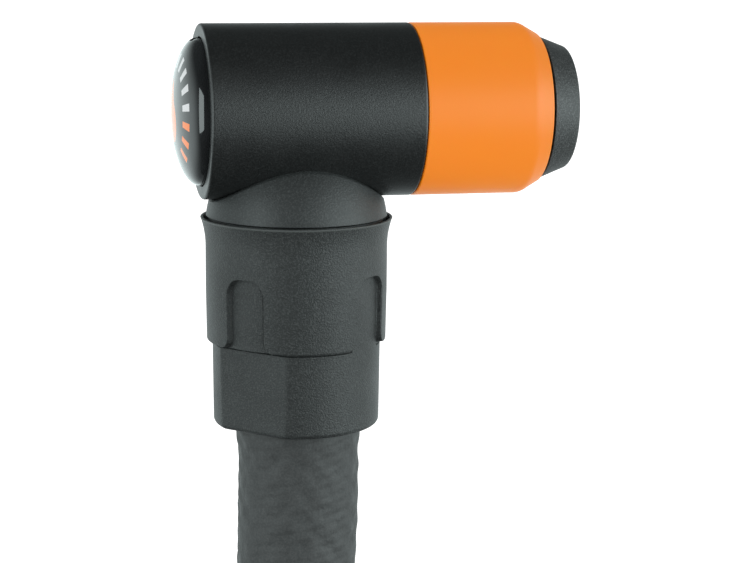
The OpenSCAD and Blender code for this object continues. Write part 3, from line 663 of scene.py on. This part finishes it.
badgeLook = {
    "radius": 8.4 * mm, "side": 0.2 * mm, "rise": 3.2 * mm, "seat": 1 * mm,
    "notchHalf": 4,  # degrees, two small notches for prising the badge out
    "notchDeep": 0.4 * mm,
    "tickWaves": 18.0, "tickFrom": 5 * mm, "tickTo": 6.6 * mm,
    "gaugeHalf": 2.52, "orangeFrom": 1.55,  # radians from the top
    "dropRadius": 2.5 * mm, "dropLow": 0.9 * mm, "dropHigh": 4.8 * mm,
    "black": (0.012, 0.014, 0.015), "blackShade": (0.016, 0.018, 0.019),
    "pale": (0.6, 0.62, 0.63), "orange": (0.86, 0.20, 0.02), "roughness": (0.16, 0.2),
    "gloss": 0.1, "coat": 0.45, "coatIor": 2.0, "coatRoughness": 0.03,
}


def makeBadge(look):
    # half an ellipse x = side - h * sin a, r = R * cos a, on a short straight side
    cap, edgeX = look["rise"] - look["side"], shellLow.x - look["side"]
    a = np.linspace(math.pi / 2, 0, 70)[1:]
    r = look["radius"] * np.cos(a)
    x = edgeX - cap * np.sin(a)
    sides = 240
    t = np.linspace(0, tau, sides, endpoint=False)
    offTop = np.abs((np.degrees(t) + 90) % 180 - 90)
    cut = look["notchDeep"] * (1 - smoothStep((offTop - look["notchHalf"]) / 1.6))
    rimLine = look["radius"] - cut
    rows = [np.array([[edgeX - cap, 0, 0]])]
    backX = shellLow.x + look["seat"]
    for radius, place in zip(np.append(r, [r[-1], r[-1] - 0.1 * mm]),
                             np.append(x, [backX - 0.1 * mm, backX])):
        reach = np.minimum(radius, rimLine)
        rows.append(np.stack([np.full(sides, place), reach * np.sin(t), reach * np.cos(t)], axis=1))
    rows.append(np.array([[backX, 0, 0]]))
    points = np.concatenate(rows)
    body = gridFaces(len(rows) - 2, sides, False) + 1
    j = np.arange(sides)
    k = (j + 1) % sides
    front = np.stack([0 * j, 1 + j, 1 + k], axis=1)
    last = 1 + (len(rows) - 3) * sides
    back = np.stack([0 * j + len(points) - 1, last + k, last + j], axis=1)
    faces = front.tolist() + body[:, ::-1].tolist() + back.tolist()
    badge = newPiece("badgeDome", points, faces, "head")
    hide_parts("badge_dome")
    return badge


def badgeMaterial(look):
    # black under clear gloss; a ring of ticks, pale above and orange below, round an orange drop
    material, nodes, links, shader = newMaterial("badgeGloss")
    spot = nodes.new("ShaderNodeTexCoord").outputs["Object"]
    split = nodes.new("ShaderNodeSeparateXYZ")
    links.new(spot, split.inputs["Vector"])

    def calc(operation, *values):
        return mathNode(nodes, links, operation, *values)

    y, z = split.outputs["Y"], split.outputs["Z"]
    radius = calc("SQRT", calc("ADD", calc("MULTIPLY", y, y), calc("MULTIPLY", z, z)))
    turn = calc("ARCTAN2", y, z)
    offTop = calc("ABSOLUTE", turn)
    # fifteen ticks between two radii; the lowest fifth of the ring is left open
    wave = calc("COSINE", calc("MULTIPLY", turn, look["tickWaves"]))
    tick = calc("GREATER_THAN", wave, 0.35)
    band = calc("MULTIPLY", calc("GREATER_THAN", radius, look["tickFrom"]),
                calc("LESS_THAN", radius, look["tickTo"]))
    gauge = calc("LESS_THAN", offTop, look["gaugeHalf"])
    ticks = calc("MULTIPLY", calc("MULTIPLY", tick, band), gauge)
    # the drop: a circle low in the middle that narrows to a point above
    low = calc("ADD", z, look["dropLow"])
    taper = calc("SUBTRACT", look["dropRadius"], calc("MULTIPLY", calc("MAXIMUM", low, 0.0), 0.52))
    upper = calc("LESS_THAN", calc("ABSOLUTE", y), taper)
    bounded = calc("LESS_THAN", low, look["dropHigh"])
    above = calc("GREATER_THAN", low, 0.0)
    upperPart = calc("MULTIPLY", calc("MULTIPLY", upper, bounded), above)
    fromMiddle = calc("ADD", calc("MULTIPLY", y, y), calc("MULTIPLY", low, low))
    lowerPart = calc("LESS_THAN", fromMiddle, look["dropRadius"] ** 2)
    drop = calc("MAXIMUM", upperPart, lowerPart)
    cloud = noiseNode(nodes, links, spot, 3 * mm, 2.0)
    black = mixColour(nodes, links, cloud, look["black"], look["blackShade"])
    lowTick = calc("GREATER_THAN", offTop, look["orangeFrom"])
    tickColour = mixColour(nodes, links, lowTick, look["pale"], look["orange"])
    withTicks = mixColour(nodes, links, ticks, black, tickColour)
    links.new(mixColour(nodes, links, drop, withTicks, look["orange"]),
              shader.inputs["Base Color"])
    links.new(rangeNode(nodes, links, cloud, 0.3, 0.7, *look["roughness"]),
              shader.inputs["Roughness"])
    for socket, key in (("Specular IOR Level", "gloss"), ("Coat Weight", "coat"),
                        ("Coat IOR", "coatIor"), ("Coat Roughness", "coatRoughness")):
        shader.inputs[socket].default_value = look[key]
    return material


badge = makeBadge(badgeLook)
badge.data.materials.append(badgeMaterial(badgeLook))
print("badge ready")


sealLook = {"wide": 3.85 * mm, "narrow": 3 * mm, "stage": 5.5 * mm, "edge": 0.15 * mm,
            "gap": 0.1 * mm, "squeeze": 2.5 * mm}  # squeezed by the ring's travel


def makeSeal(look):
    # the rubber sleeve that grips the valve: its lip stays, the piston squeezes its thick foot
    low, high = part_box("valve_seal")
    footX = noseLow.x - look["gap"]
    slim = noseLook["skirtIn"] - look["gap"]
    lip = turnedPiece("valveSealLip", [
        (footX - 0.05 * mm, look["narrow"], 0.02 * mm), (footX - 0.05 * mm, slim, 0.02 * mm),
        (high.x, slim, look["edge"]), (high.x, look["wide"], look["edge"]),
        (high.x - look["stage"], look["wide"], 0.05 * mm),
        (high.x - look["stage"], look["narrow"], look["edge"])], "head", sides=96)
    foot = turnedPiece("valveSealFoot", [
        (low.x, look["narrow"], look["edge"]), (low.x, high.z, look["edge"]),
        (footX, high.z, look["edge"]), (footX, look["narrow"], 0.02 * mm)],
        "head", sides=96)
    for part in (lip, foot):
        part.data.materials.append(sealRubber)
    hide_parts("valve_seal")
    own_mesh(foot)


springLook = {"wire": 0.25 * mm, "coil": 2.2 * mm, "turns": 4.5, "sides": 14}


def makeSpring(look):
    # a tube round a helix: path (x, R cos a, R sin a), ring w * (cos b * outward + sin b * X)
    low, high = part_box("pin_spring")
    wire, sides = look["wire"], look["sides"]
    a = np.linspace(0, tau * look["turns"], int(40 * look["turns"]))
    outward = np.stack([0 * a, np.cos(a), np.sin(a)], axis=1)
    along0 = low.x + wire + (high.x - low.x - 2 * wire) * a / a[-1]
    path = look["coil"] * outward + np.stack([along0, 0 * a, 0 * a], axis=1)
    b = np.linspace(0, tau, sides, endpoint=False)
    points = path[:, None] + wire * (np.cos(b)[None, :, None] * outward[:, None]
                                     + np.sin(b)[None, :, None] * np.array([1.0, 0, 0]))
    faces = gridFaces(len(a), sides, False)[:, ::-1].tolist()
    faces.append(list(range(sides)))
    faces.append(list(range((len(a) - 1) * sides, len(a) * sides))[::-1])
    spring = newPiece("pinSpring", points, faces, "head")
    spring.data.materials.append(springSteel)
    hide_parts("pin_spring")
    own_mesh(spring)


makeSeal(sealLook)
makeSpring(springLook)
print("seal and spring ready")


neckLook = {"radius": 10.6 * mm, "halfHeight": 12 * mm, "centreZ": -13.7 * mm, "endZ": -12.7 * mm,
            "saddle": 10.05 * mm, "plug": 4 * mm, "plugTop": -5.2 * mm, "air": 1.6 * mm,
            "spigot": 5 * mm, "undercut": 0.45 * mm, "undercutTop": -12.02 * mm}


def makeNeck(look):
    # ellipsoid rho(z) = a * sqrt(1 - ((z - c) / h)^2), cut above by the cylinder
    # y^2 + z^2 = saddle^2; the cut's height at each angle is the lower root of a quadratic
    a, h, c, saddle = look["radius"], look["halfHeight"], look["centreZ"], look["saddle"]
    sides = 240
    t = np.linspace(0, tau, sides, endpoint=False)
    q = (a * np.sin(t)) ** 2 / h**2
    top = (2 * q * -c - np.sqrt(4 * (q * c) ** 2 - 4 * (1 - q) * (q * (h**2 - c**2) - saddle**2))) \
        / (2 * (1 - q))
    rows = []

    def row(radius, z):
        rows.append(np.stack([neckX + radius * np.cos(t), radius * np.sin(t), z + 0 * t], axis=1))

    def rho(z):
        shadow = look["undercut"] * smoothStep((look["undercutTop"] - z) / (0.18 * mm))
        return a * np.sqrt(np.maximum(0, 1 - ((z - c) / h) ** 2)) - shadow

    edge = 0.25 * mm
    spigotEnd = neckLow.z
    row(look["air"] + 0 * t, spigotEnd)
    spigot = look["spigot"]
    for radius, z in ((spigot - 0.3 * mm, spigotEnd), (spigot, spigotEnd + 0.3 * mm),
                      (spigot, look["endZ"] - 0.1 * mm), (spigot, look["endZ"])):
        row(radius + 0 * t, z)
    rim = rho(look["endZ"])
    row(rim - 0.5 * mm + 0 * t, look["endZ"])
    for bend in np.linspace(0, math.pi / 2, 6):
        row(rim - 0.3 * mm * (1 - math.sin(bend)), look["endZ"] + 0.3 * mm * (1 - math.cos(bend)))
    for share in np.linspace(0, 1, 60)[1:] ** 1.6:
        z = look["endZ"] + 0.3 * mm + share * (top - edge - look["endZ"] - 0.3 * mm)
        row(rho(z), z)
    for bend in np.linspace(0, 1, 5)[1:]:
        z = top - edge + edge * math.sin(bend * math.pi / 2)
        row(rho(top) - edge * (1 - math.cos(bend * math.pi / 2)), z - 0.02 * mm)
    for share in np.linspace(0, 1, 14)[1:]:
        radius = (1 - share) * (rho(top) - edge) + share * look["plug"]
        row(radius, -np.sqrt(np.maximum(saddle**2 - (radius * np.sin(t)) ** 2, 0)) - 0.02 * mm)
    row(look["plug"] + 0 * t, look["plugTop"] - 0.2 * mm)
    row(look["plug"] - 0.2 * mm + 0 * t, look["plugTop"])
    row(look["air"] + 0 * t, look["plugTop"])
    neck = newPiece("neckSaddle", np.array(rows), gridFaces(len(rows), sides, True), "head")
    neck.data.materials.append(neckPlastic)
    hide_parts("neck")


makeNeck(neckLook)
print("neck ready")


collarLook = {
    "rim": (collarHigh.x - collarLow.x) / 2, "lip": 0.35 * mm, "grip": 10.55 * mm,
    "flare": 3.6 * mm, "flarePower": 2.2, "taper": 0.1 * mm, "gripLength": 14.4 * mm,
    "lower": 9.8 * mm, "flat": 8.65 * mm, "recessHalf": 2.5 * mm,
    "recessHigh": 8.2 * mm, "recessRound": 2 * mm, "lobeRound": 1.2 * mm, "lobeEdge": 0.16 * mm,
    "footRound": 0.6 * mm, "wall": 0.08 * mm,  # half width of the recess walls' slope
    "floorRise": 0.14 * mm,  # recess floors above the lower body
    "creaseDeep": 0.05 * mm,  # along the foot of the recess walls
    "underDeep": 0.16 * mm, "underHigh": 0.38 * mm,  # groove under the sleeve's lower edge
    "recesses": (45, 135, 225, 315), "flats": (45, 225),
    "cup": 8.25 * mm, "bore": 7.85 * mm, "hole": 7.55 * mm,  # radii of the inner surface
    "mouthDeep": 0.9 * mm, "cupFoot": 12.4 * mm, "ledge": 1.3 * mm,
}


def archDistance(u, z, look):
    # signed distance inside the arch: a rounded box above, and two quarter-round feet below
    top = look["recessHigh"]
    r, foot, w = look["recessRound"], look["lobeRound"], look["recessHalf"]
    qx, qz = np.abs(u) - (w - r), z - (top - r)
    box = -(np.hypot(np.maximum(qx, 0), np.maximum(qz, 0)) + np.minimum(np.maximum(qx, qz), 0) - r)
    feet = np.hypot(np.abs(u) - (w + foot), z - foot) - foot
    feet = np.where(np.abs(u) > w + foot, -foot, feet)
    return np.where(z < foot, feet, box)


def makeCollar(look):
    # outer surface: radius as a field over angle and height; inner surface: plain rings
    foot, head = collarLow.z, collarHigh.z
    lobe = head - look["gripLength"]
    quarter = np.concatenate([np.linspace(-45, -23, 17, endpoint=False),
                              np.linspace(-23, -10, 38, endpoint=False),
                              np.linspace(-10, 10, 24, endpoint=False),
                              np.linspace(10, 23, 38, endpoint=False),
                              np.linspace(23, 45, 17, endpoint=False)])
    angle = np.radians(np.concatenate([arm + quarter for arm in look["recesses"]]))
    off = np.radians(np.tile(quarter, 4))
    flatted = np.repeat(np.isin(look["recesses"], look["flats"]), len(quarter))
    z = np.concatenate([
        foot + look["footRound"] * (1 - np.cos(np.linspace(0, math.pi / 2, 9))),
        np.linspace(foot + 0.8 * mm, lobe - 0.6 * mm, 16),
        np.linspace(lobe - 0.55 * mm, lobe + 0.5 * mm, 46),
        np.linspace(lobe + 0.55 * mm, lobe + 1.5 * mm, 16),
        np.linspace(lobe + 1.7 * mm, lobe + look["recessHigh"] - 2 * mm, 14),
        np.linspace(lobe + look["recessHigh"] - 1.9 * mm, lobe + look["recessHigh"] + 0.4 * mm, 36),
        np.linspace(lobe + look["recessHigh"] + 0.7 * mm, head - 0.12 * mm, 22)])[:, None]
    up = np.clip((z - (head - look["flare"])) / look["flare"], 0, 1) ** look["flarePower"]
    taper = look["taper"] * np.clip((lobe + 6 * mm - z) / (6 * mm), 0, 1)
    grip = look["grip"] - taper + (look["rim"] - look["grip"]) * up + 0 * off
    footRound = look["footRound"]
    dip = np.maximum(footRound - (z - foot), 0)
    footCut = footRound - np.sqrt(np.maximum(footRound**2 - dip**2, 0))
    slope = 0.1 * mm * np.clip((lobe - z) / (lobe - foot), 0, 1)
    plain = look["lower"] - slope - footCut + 0 * off
    flat = softMin(plain, look["flat"] / np.cos(off) - footCut, 0.12 * mm)
    onFlat = flatted * (1 - smoothStep((z - lobe) / (0.12 * mm) + 0.5))
    lower = plain + (flat - plain) * onFlat
    beside = look["grip"] * np.sin(off)[None]
    inside = archDistance(beside, z - lobe, look)
    inArch, underArch = (smoothStep(distance / (2 * look["wall"]) + 0.5)
                         for distance in (inside, archDistance(beside, 0.4 * mm + 0 * z, look)))
    above = smoothStep((z - lobe) / (0.1 * mm) + 0.5)
    groove = look["underDeep"] * smoothStep((z - lobe + look["underHigh"]) / (0.2 * mm))
    groove = groove * (1 - above) * (1 - underArch * (1 - flatted))
    crease = look["creaseDeep"] * above * smoothStep(inside / (0.1 * mm)) \
        * (1 - smoothStep((inside - 0.12 * mm) / (0.25 * mm)))
    lower = lower - groove - crease + look["floorRise"] * smoothStep((z - lobe) / (3 * mm))
    # the sleeve's lower edge is rounded: R - e + sqrt(e^2 - (e - rise)^2)
    rise = np.clip(look["lobeEdge"] - (z - lobe), 0, look["lobeEdge"])
    edged = grip - look["lobeEdge"] + np.sqrt(look["lobeEdge"] ** 2 - rise**2)
    step = smoothStep((z - lobe) / (0.08 * mm) + 0.5) * (1 - inArch)
    radius = lower * (1 - step) + edged * step
    rows = [np.stack([neckX + radius * np.cos(angle), radius * np.sin(angle), z + 0 * radius],
                     axis=-1)]

    def ring(r, height):
        rows.append(np.stack([neckX + r * np.cos(angle), r * np.sin(angle),
                              np.full(len(angle), height)], axis=-1)[None])

    rimR, lip = look["rim"], look["lip"]
    for turn in np.linspace(0, math.pi, 9)[1:]:  # the lip's rounded top edge
        ring(rimR - lip / 2 + lip / 2 * math.cos(turn),
             head - 0.12 * mm + 0.12 * mm * math.sin(turn))
    mouth, cupFoot, ledge = head - look["mouthDeep"], foot + look["cupFoot"], foot + look["ledge"]
    cup, bore, hole = look["cup"], look["bore"], look["hole"]
    for r, height in ((rimR - lip, mouth + 0.1 * mm), (rimR - lip - 0.1 * mm, mouth),
                      (cup + 0.15 * mm, mouth), (cup, mouth - 0.15 * mm), (cup, cupFoot),
                      (bore, cupFoot), (bore, ledge), (hole, ledge), (hole, foot + 0.2 * mm),
                      (hole + 0.2 * mm, foot)):
        ring(r, height)
    grid = np.concatenate(rows)
    collar = newPiece("swivelCollar", grid, gridFaces(grid.shape[0], grid.shape[1], True), "hose")
    collar.data.materials.append(collarPlastic)
    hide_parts("collar")


makeCollar(collarLook)
print("collar ready")


strapLook = {"width": 14 * mm, "thick": 1.5 * mm, "gap": 0.15 * mm}


def makeStrap(name, node, degrees, turns):
    # a flat band round strands that lie side by side: two half circles joined by straights,
    # swept across the strap's width, with its free end lapped over the outside
    half, thick = strapLook["width"] / 2, strapLook["thick"]
    inner = hoseSize["radius"] + hoseSize["braidHeight"] + strapLook["gap"]
    a = math.radians(degrees)
    angle0 = math.radians(hoseSize["coilFrom"])
    outward = np.array([math.cos(a), 0, math.sin(a)])
    ahead = np.array([-math.sin(a), 0, math.cos(a)])
    sideways = np.array([0, 1.0, 0])
    middle = coilCentre + hoseSize["coilRadius"] * outward \
        + sideways * hoseSize["coilPitch"] * (a - angle0) / tau
    run = turns * hoseSize["coilPitch"]
    bend = np.linspace(0, math.pi, 25)

    def loop(radius):
        first = np.stack([radius * np.cos(-bend), radius * np.sin(-bend)], axis=1)
        second = np.stack([-radius * np.cos(-bend), run - radius * np.sin(-bend)], axis=1)
        path = np.concatenate([first, second])
        return np.concatenate([path, path[:1]])

    def band(line0, line1, halfWidth):
        # cross section: a rounded flat bar between two offset lines
        rows = []
        bar = [(0.15, -1.0), (0.0, -0.97), (0.0, 0.97), (0.15, 1.0), (0.85, 1.0), (1.0, 0.97),
               (1.0, -0.97), (0.85, -1.0)]
        for share, across in bar:
            line = line0 * (1 - share) + line1 * share
            rows.append(middle + line[:, :1] * outward + line[:, 1:] * sideways
                        + across * halfWidth * ahead)
        return np.stack(rows, axis=1)

    closed = band(loop(inner)[:-1], loop(inner + thick)[:-1], half)
    rowsCount, columns = closed.shape[:2]
    faces = gridFaces(rowsCount, columns, True)[:, ::-1].tolist()
    # the free end starts on the outer side and follows the band, a hair above it
    outerLine = loop(inner + thick + 0.05 * mm)
    topLine = loop(inner + 1.55 * thick)
    chosen = slice(26, 26 + 21)
    flap = band(outerLine[chosen], topLine[chosen], half * 0.96)
    start = rowsCount * columns
    flapRows = flap.shape[0]
    faces += (gridFaces(flapRows, columns, False)[:, ::-1] + start).tolist()
    faces.append([start + k for k in range(columns)])
    faces.append([start + (flapRows - 1) * columns + k for k in range(columns)][::-1])
    points = np.concatenate([closed.reshape(-1, 3), flap.reshape(-1, 3)])
    strap = newPiece(name, points, faces, "hose")
    strap.data.materials.append(strapFabric)
    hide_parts(node)


makeStrap("upperStrap", "hose_tie_upper", 165, 2)
makeStrap("lowerStrap", "hose_tie_lower", 330, 1)
print("straps ready")


nutLow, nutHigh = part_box("pump_nut")
fittingX = (nutLow.x + nutHigh.x) / 2
fittingY = (nutLow.y + nutHigh.y) / 2
nutLook = {"flat": 8.5 * mm, "chamfer": 0.8 * mm, "shoulder": 3.5 * mm, "thread": 5.45 * mm,
           "threadStep": 1 * mm, "threadDeep": 0.5 * mm, "collarBore": 4.95 * mm, "wall": 1.8 * mm,
           "threadLength": 9.4 * mm}


def makeNut(look):
    # hexagon radius f / cos(angle from the nearest flat's middle), limited by two cones
    sides = 288
    t = np.linspace(0, tau, sides, endpoint=False)
    hexagon = look["flat"] / np.cos(t % (tau / 6) - tau / 12)
    corner = look["flat"] / math.cos(tau / 12)
    length = nutHigh.z - nutLow.z
    rows = []

    def row(radius, s):
        # s runs down from the nut's upper face
        r = radius + 0 * t
        rows.append(np.stack([fittingX + r * np.cos(t), fittingY + r * np.sin(t),
                              nutHigh.z - s + 0 * t], axis=1))

    row(look["collarBore"], 0)
    row(look["flat"] - look["chamfer"] - 0.1 * mm, 0)
    s = np.concatenate([np.linspace(0.02 * mm, look["chamfer"], 6),
                        np.linspace(look["chamfer"], look["shoulder"] + 0.4 * mm, 22)[1:],
                        np.linspace(look["shoulder"] + 0.8 * mm, length - 1.3 * mm, 8),
                        np.linspace(length - 1.2 * mm, length - 0.02 * mm, 16)])
    for place in s:
        edge = look["flat"] - look["chamfer"] + min(place, look["chamfer"])
        if place > look["chamfer"]:
            edge = look["flat"] + (corner - look["flat"]) * (place - look["chamfer"]) \
                / (look["shoulder"] - look["chamfer"])
        farEdge = look["flat"] + (corner - look["flat"]) * (length - place) / look["chamfer"]
        row(softMin(softMin(hexagon, min(edge, corner + 1 * mm) + 0 * t, 0.12 * mm),
                    min(farEdge, corner + 1 * mm) + 0 * t, 0.12 * mm), place)
    row(look["thread"] + 0.5 * mm, length)
    row(look["thread"] + 0.05 * mm, length - 0.4 * mm)
    for place in np.arange(length - 0.5 * mm, length - look["threadLength"], -0.14 * mm):
        phase = (place / look["threadStep"] + t / tau) % 1
        groove = look["threadDeep"] * (1 - np.abs(2 * phase - 1))
        row(look["thread"] + 0.04 * mm + groove, place)
    row(look["thread"] + 0.35 * mm, length - look["threadLength"] - 0.1 * mm)
    row(look["thread"] + 0.35 * mm, look["wall"])
    row(look["collarBore"], look["wall"])
    nut = newPiece("pumpNut", np.array(rows), gridFaces(len(rows), sides, True)[:, ::-1], "nut")
    nut.data.materials.append(nutPlating)
    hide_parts("pump_nut")


makeNut(nutLook)

sleeveLow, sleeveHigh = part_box("pump_ferrule")
ferruleLook = {"inside": 7.02 * mm, "deep": 0.3 * mm, "neck": 3.5 * mm, "wall": 0.8 * mm}


def makeFerrule(look):
    # crimped sleeve: three rolled grooves round a thin tube
    outer = (sleeveHigh.x - sleeveLow.x) / 2
    length = sleeveHigh.z - sleeveLow.z
    inside, pitch, wall = look["inside"], length / 7, look["wall"]
    corners = [(0, inside, 0.08 * mm), (0, outer, 0.2 * mm)]
    for k in range(3):
        for share, drop in ((1.0, 0), (1.35, 1), (1.65, 1), (2.0, 0)):
            corners.append((pitch * (share + 2 * k), outer - look["deep"] * drop, 0.15 * mm))
    corners += [(length, outer, 0.2 * mm), (length, look["neck"], 0.1 * mm),
                (length - wall, look["neck"], 0.1 * mm), (length - wall, inside, 0.05 * mm)]
    ferrule = turnedPiece("pumpFerrule", corners, "hose", (0, 0, -1),
                          (fittingX, fittingY, sleeveHigh.z))
    ferrule.data.materials.append(ferruleAluminium)
    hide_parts("pump_ferrule")


makeFerrule(ferruleLook)
print("pump fitting ready")


# the finish of each node; pieces that keep their own shape show it
finishes = {
    "head_core": corePlastic, "end_plug": corePlastic, "clamp_piston": corePlastic,
    "end_plug_seal": sealRubber, "neck_seal": sealRubber, "valve_seal": sealRubber,
    "swivel_seal_upper": sealRubber, "swivel_seal_lower": sealRubber, "piston_seal": sealRubber,
    "pin_guide": pinBrass, "core_pin": pinBrass, "pin_spring": springSteel,
    "hose_nipple": brassMetal, "pump_tailpiece": brassMetal, "swivel_clip": springSteel,
    "hose_ferrule": ferruleAluminium, "pump_seal": washerFibre,
    "barrel_shell": shellPlastic, "slide_ring": ringOrange, "nose_cap": nosePlastic,
    "badge_dome": badge.data.materials[0], "neck": neckPlastic, "collar": collarPlastic,
    "hose_end": hoseRubber, "hose_lead": hoseRubber, "hose_coil": hoseRubber,
    "hose_tail": hoseRubber, "hose_tie_upper": strapFabric, "hose_tie_lower": strapFabric,
    "pump_nut": nutPlating, "pump_ferrule": ferruleAluminium,
}
for nodeName, material in finishes.items():
    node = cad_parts[nodeName]
    node.data.materials.clear()
    node.data.materials.append(material)

print("finishes ready")


stageLook = {"floorZ": cadLow.z - 8 * mm, "reach": 6.0, "floor": (0.9, 0.9, 0.9),
             "roughness": 0.8, "glow": 0.45}


def makeFloor(look):
    # the floor shows to the lens only, so that it doesn't light the piece from below
    reach, z = look["reach"], look["floorZ"]
    mesh = bpy.data.meshes.new("paleFloor")
    mesh.from_pydata([(x, y, z) for x, y in ((-reach, -reach), (reach, -reach), (reach, reach),
                                             (-reach, reach))], [], [(0, 1, 2, 3)])
    floor = bpy.data.objects.new("paleFloor", mesh)
    scene.collection.objects.link(floor)
    floor.visible_glossy = floor.visible_diffuse = False
    material, _, _, shader = newMaterial("floorPaint")
    shader.inputs["Base Color"].default_value = (*look["floor"], 1)
    shader.inputs["Roughness"].default_value = look["roughness"]
    shader.inputs["Emission Color"].default_value = (1, 1, 1, 1)
    shader.inputs["Emission Strength"].default_value = look["glow"]
    mesh.materials.append(material)


makeFloor(stageLook)

lights = {  # size in metres, power in watts; azimuth 0 is in front, positive towards +X
    "leftPanel": {"azimuth": -60, "elevation": 4, "distance": 1.0, "size": (0.7, 0.9),
                  "power": 7},
    "rightPanel": {"azimuth": 52, "elevation": 3, "distance": 1.0, "size": (1.3, 0.9),
                   "power": 15.5},
}
lightTint = (0.88, 1.0, 1.0)


def makeLights(middle):
    for name, look in lights.items():
        lamp = bpy.data.lights.new(name, "AREA")
        lamp.shape = "RECTANGLE"
        lamp.size, lamp.size_y = look["size"]
        lamp.energy = look["power"]
        lamp.color = lightTint
        a, e = math.radians(look["azimuth"]), math.radians(look["elevation"])
        away = Vector((math.sin(a) * math.cos(e), -math.cos(a) * math.cos(e), math.sin(e)))
        panel = bpy.data.objects.new(name, lamp)
        scene.collection.objects.link(panel)
        panel.location = middle + look["distance"] * away
        panel.rotation_mode = "QUATERNION"
        panel.rotation_quaternion = away.to_track_quat("Z", "Y")
        panel.visible_diffuse = False


makeLights(Vector(cameraLook["target"]))

worldLook = {"even": 1.04, "evenBelow": 1.3, "behind": 1.6, "front": 0.08, "above": 0.03,
             "below": 0.15, "lens": 1.1}


def makeWorld(look):
    # even soft light all round; shiny surfaces mirror a room that is bright behind and at
    # the sides and dark overhead, and the lens sees white
    world = bpy.data.worlds.new("studio")
    scene.world = world
    world.use_nodes = True
    nodes, links = world.node_tree.nodes, world.node_tree.links
    nodes.clear()
    direction = nodes.new("ShaderNodeTexCoord").outputs["Generated"]
    split = nodes.new("ShaderNodeSeparateXYZ")
    links.new(direction, split.inputs["Vector"])

    def ramp(value, *ends):
        return rangeNode(nodes, links, value, *ends, kind="SMOOTHSTEP")

    mirrored = ramp(split.outputs["Y"], -0.3, 0.45, look["front"], look["behind"])
    overhead = ramp(split.outputs["Z"], -0.1, 0.6, 1, look["above"])
    underfoot = ramp(split.outputs["Z"], -0.9, -0.3, look["below"], 1)
    room = mathNode(nodes, links, "MULTIPLY", mirrored, overhead)
    room = mathNode(nodes, links, "MULTIPLY", room, underfoot)
    output = nodes.new("ShaderNodeOutputWorld")
    seen = nodes.new("ShaderNodeLightPath")

    def glow(strength, colour=(1, 1, 1)):
        node = nodes.new("ShaderNodeBackground")
        node.inputs["Color"].default_value = (*colour, 1)
        if isinstance(strength, float):
            node.inputs["Strength"].default_value = strength
        else:
            links.new(strength, node.inputs["Strength"])
        return node.outputs["Background"]

    def choose(factor, a, b):
        node = nodes.new("ShaderNodeMixShader")
        links.new(factor, node.inputs["Fac"])
        links.new(a, node.inputs[1])
        links.new(b, node.inputs[2])
        return node.outputs["Shader"]

    soft = ramp(split.outputs["Z"], -0.9, 0, look["evenBelow"], look["even"])
    shiny = choose(seen.outputs["Is Glossy Ray"], glow(soft), glow(room, lightTint))
    links.new(choose(seen.outputs["Is Camera Ray"], shiny, glow(look["lens"])),
              output.inputs["Surface"])


makeWorld(worldLook)
scene.view_settings.view_transform = "Standard"
scene.view_settings.look = "None"
print("stage and light ready")
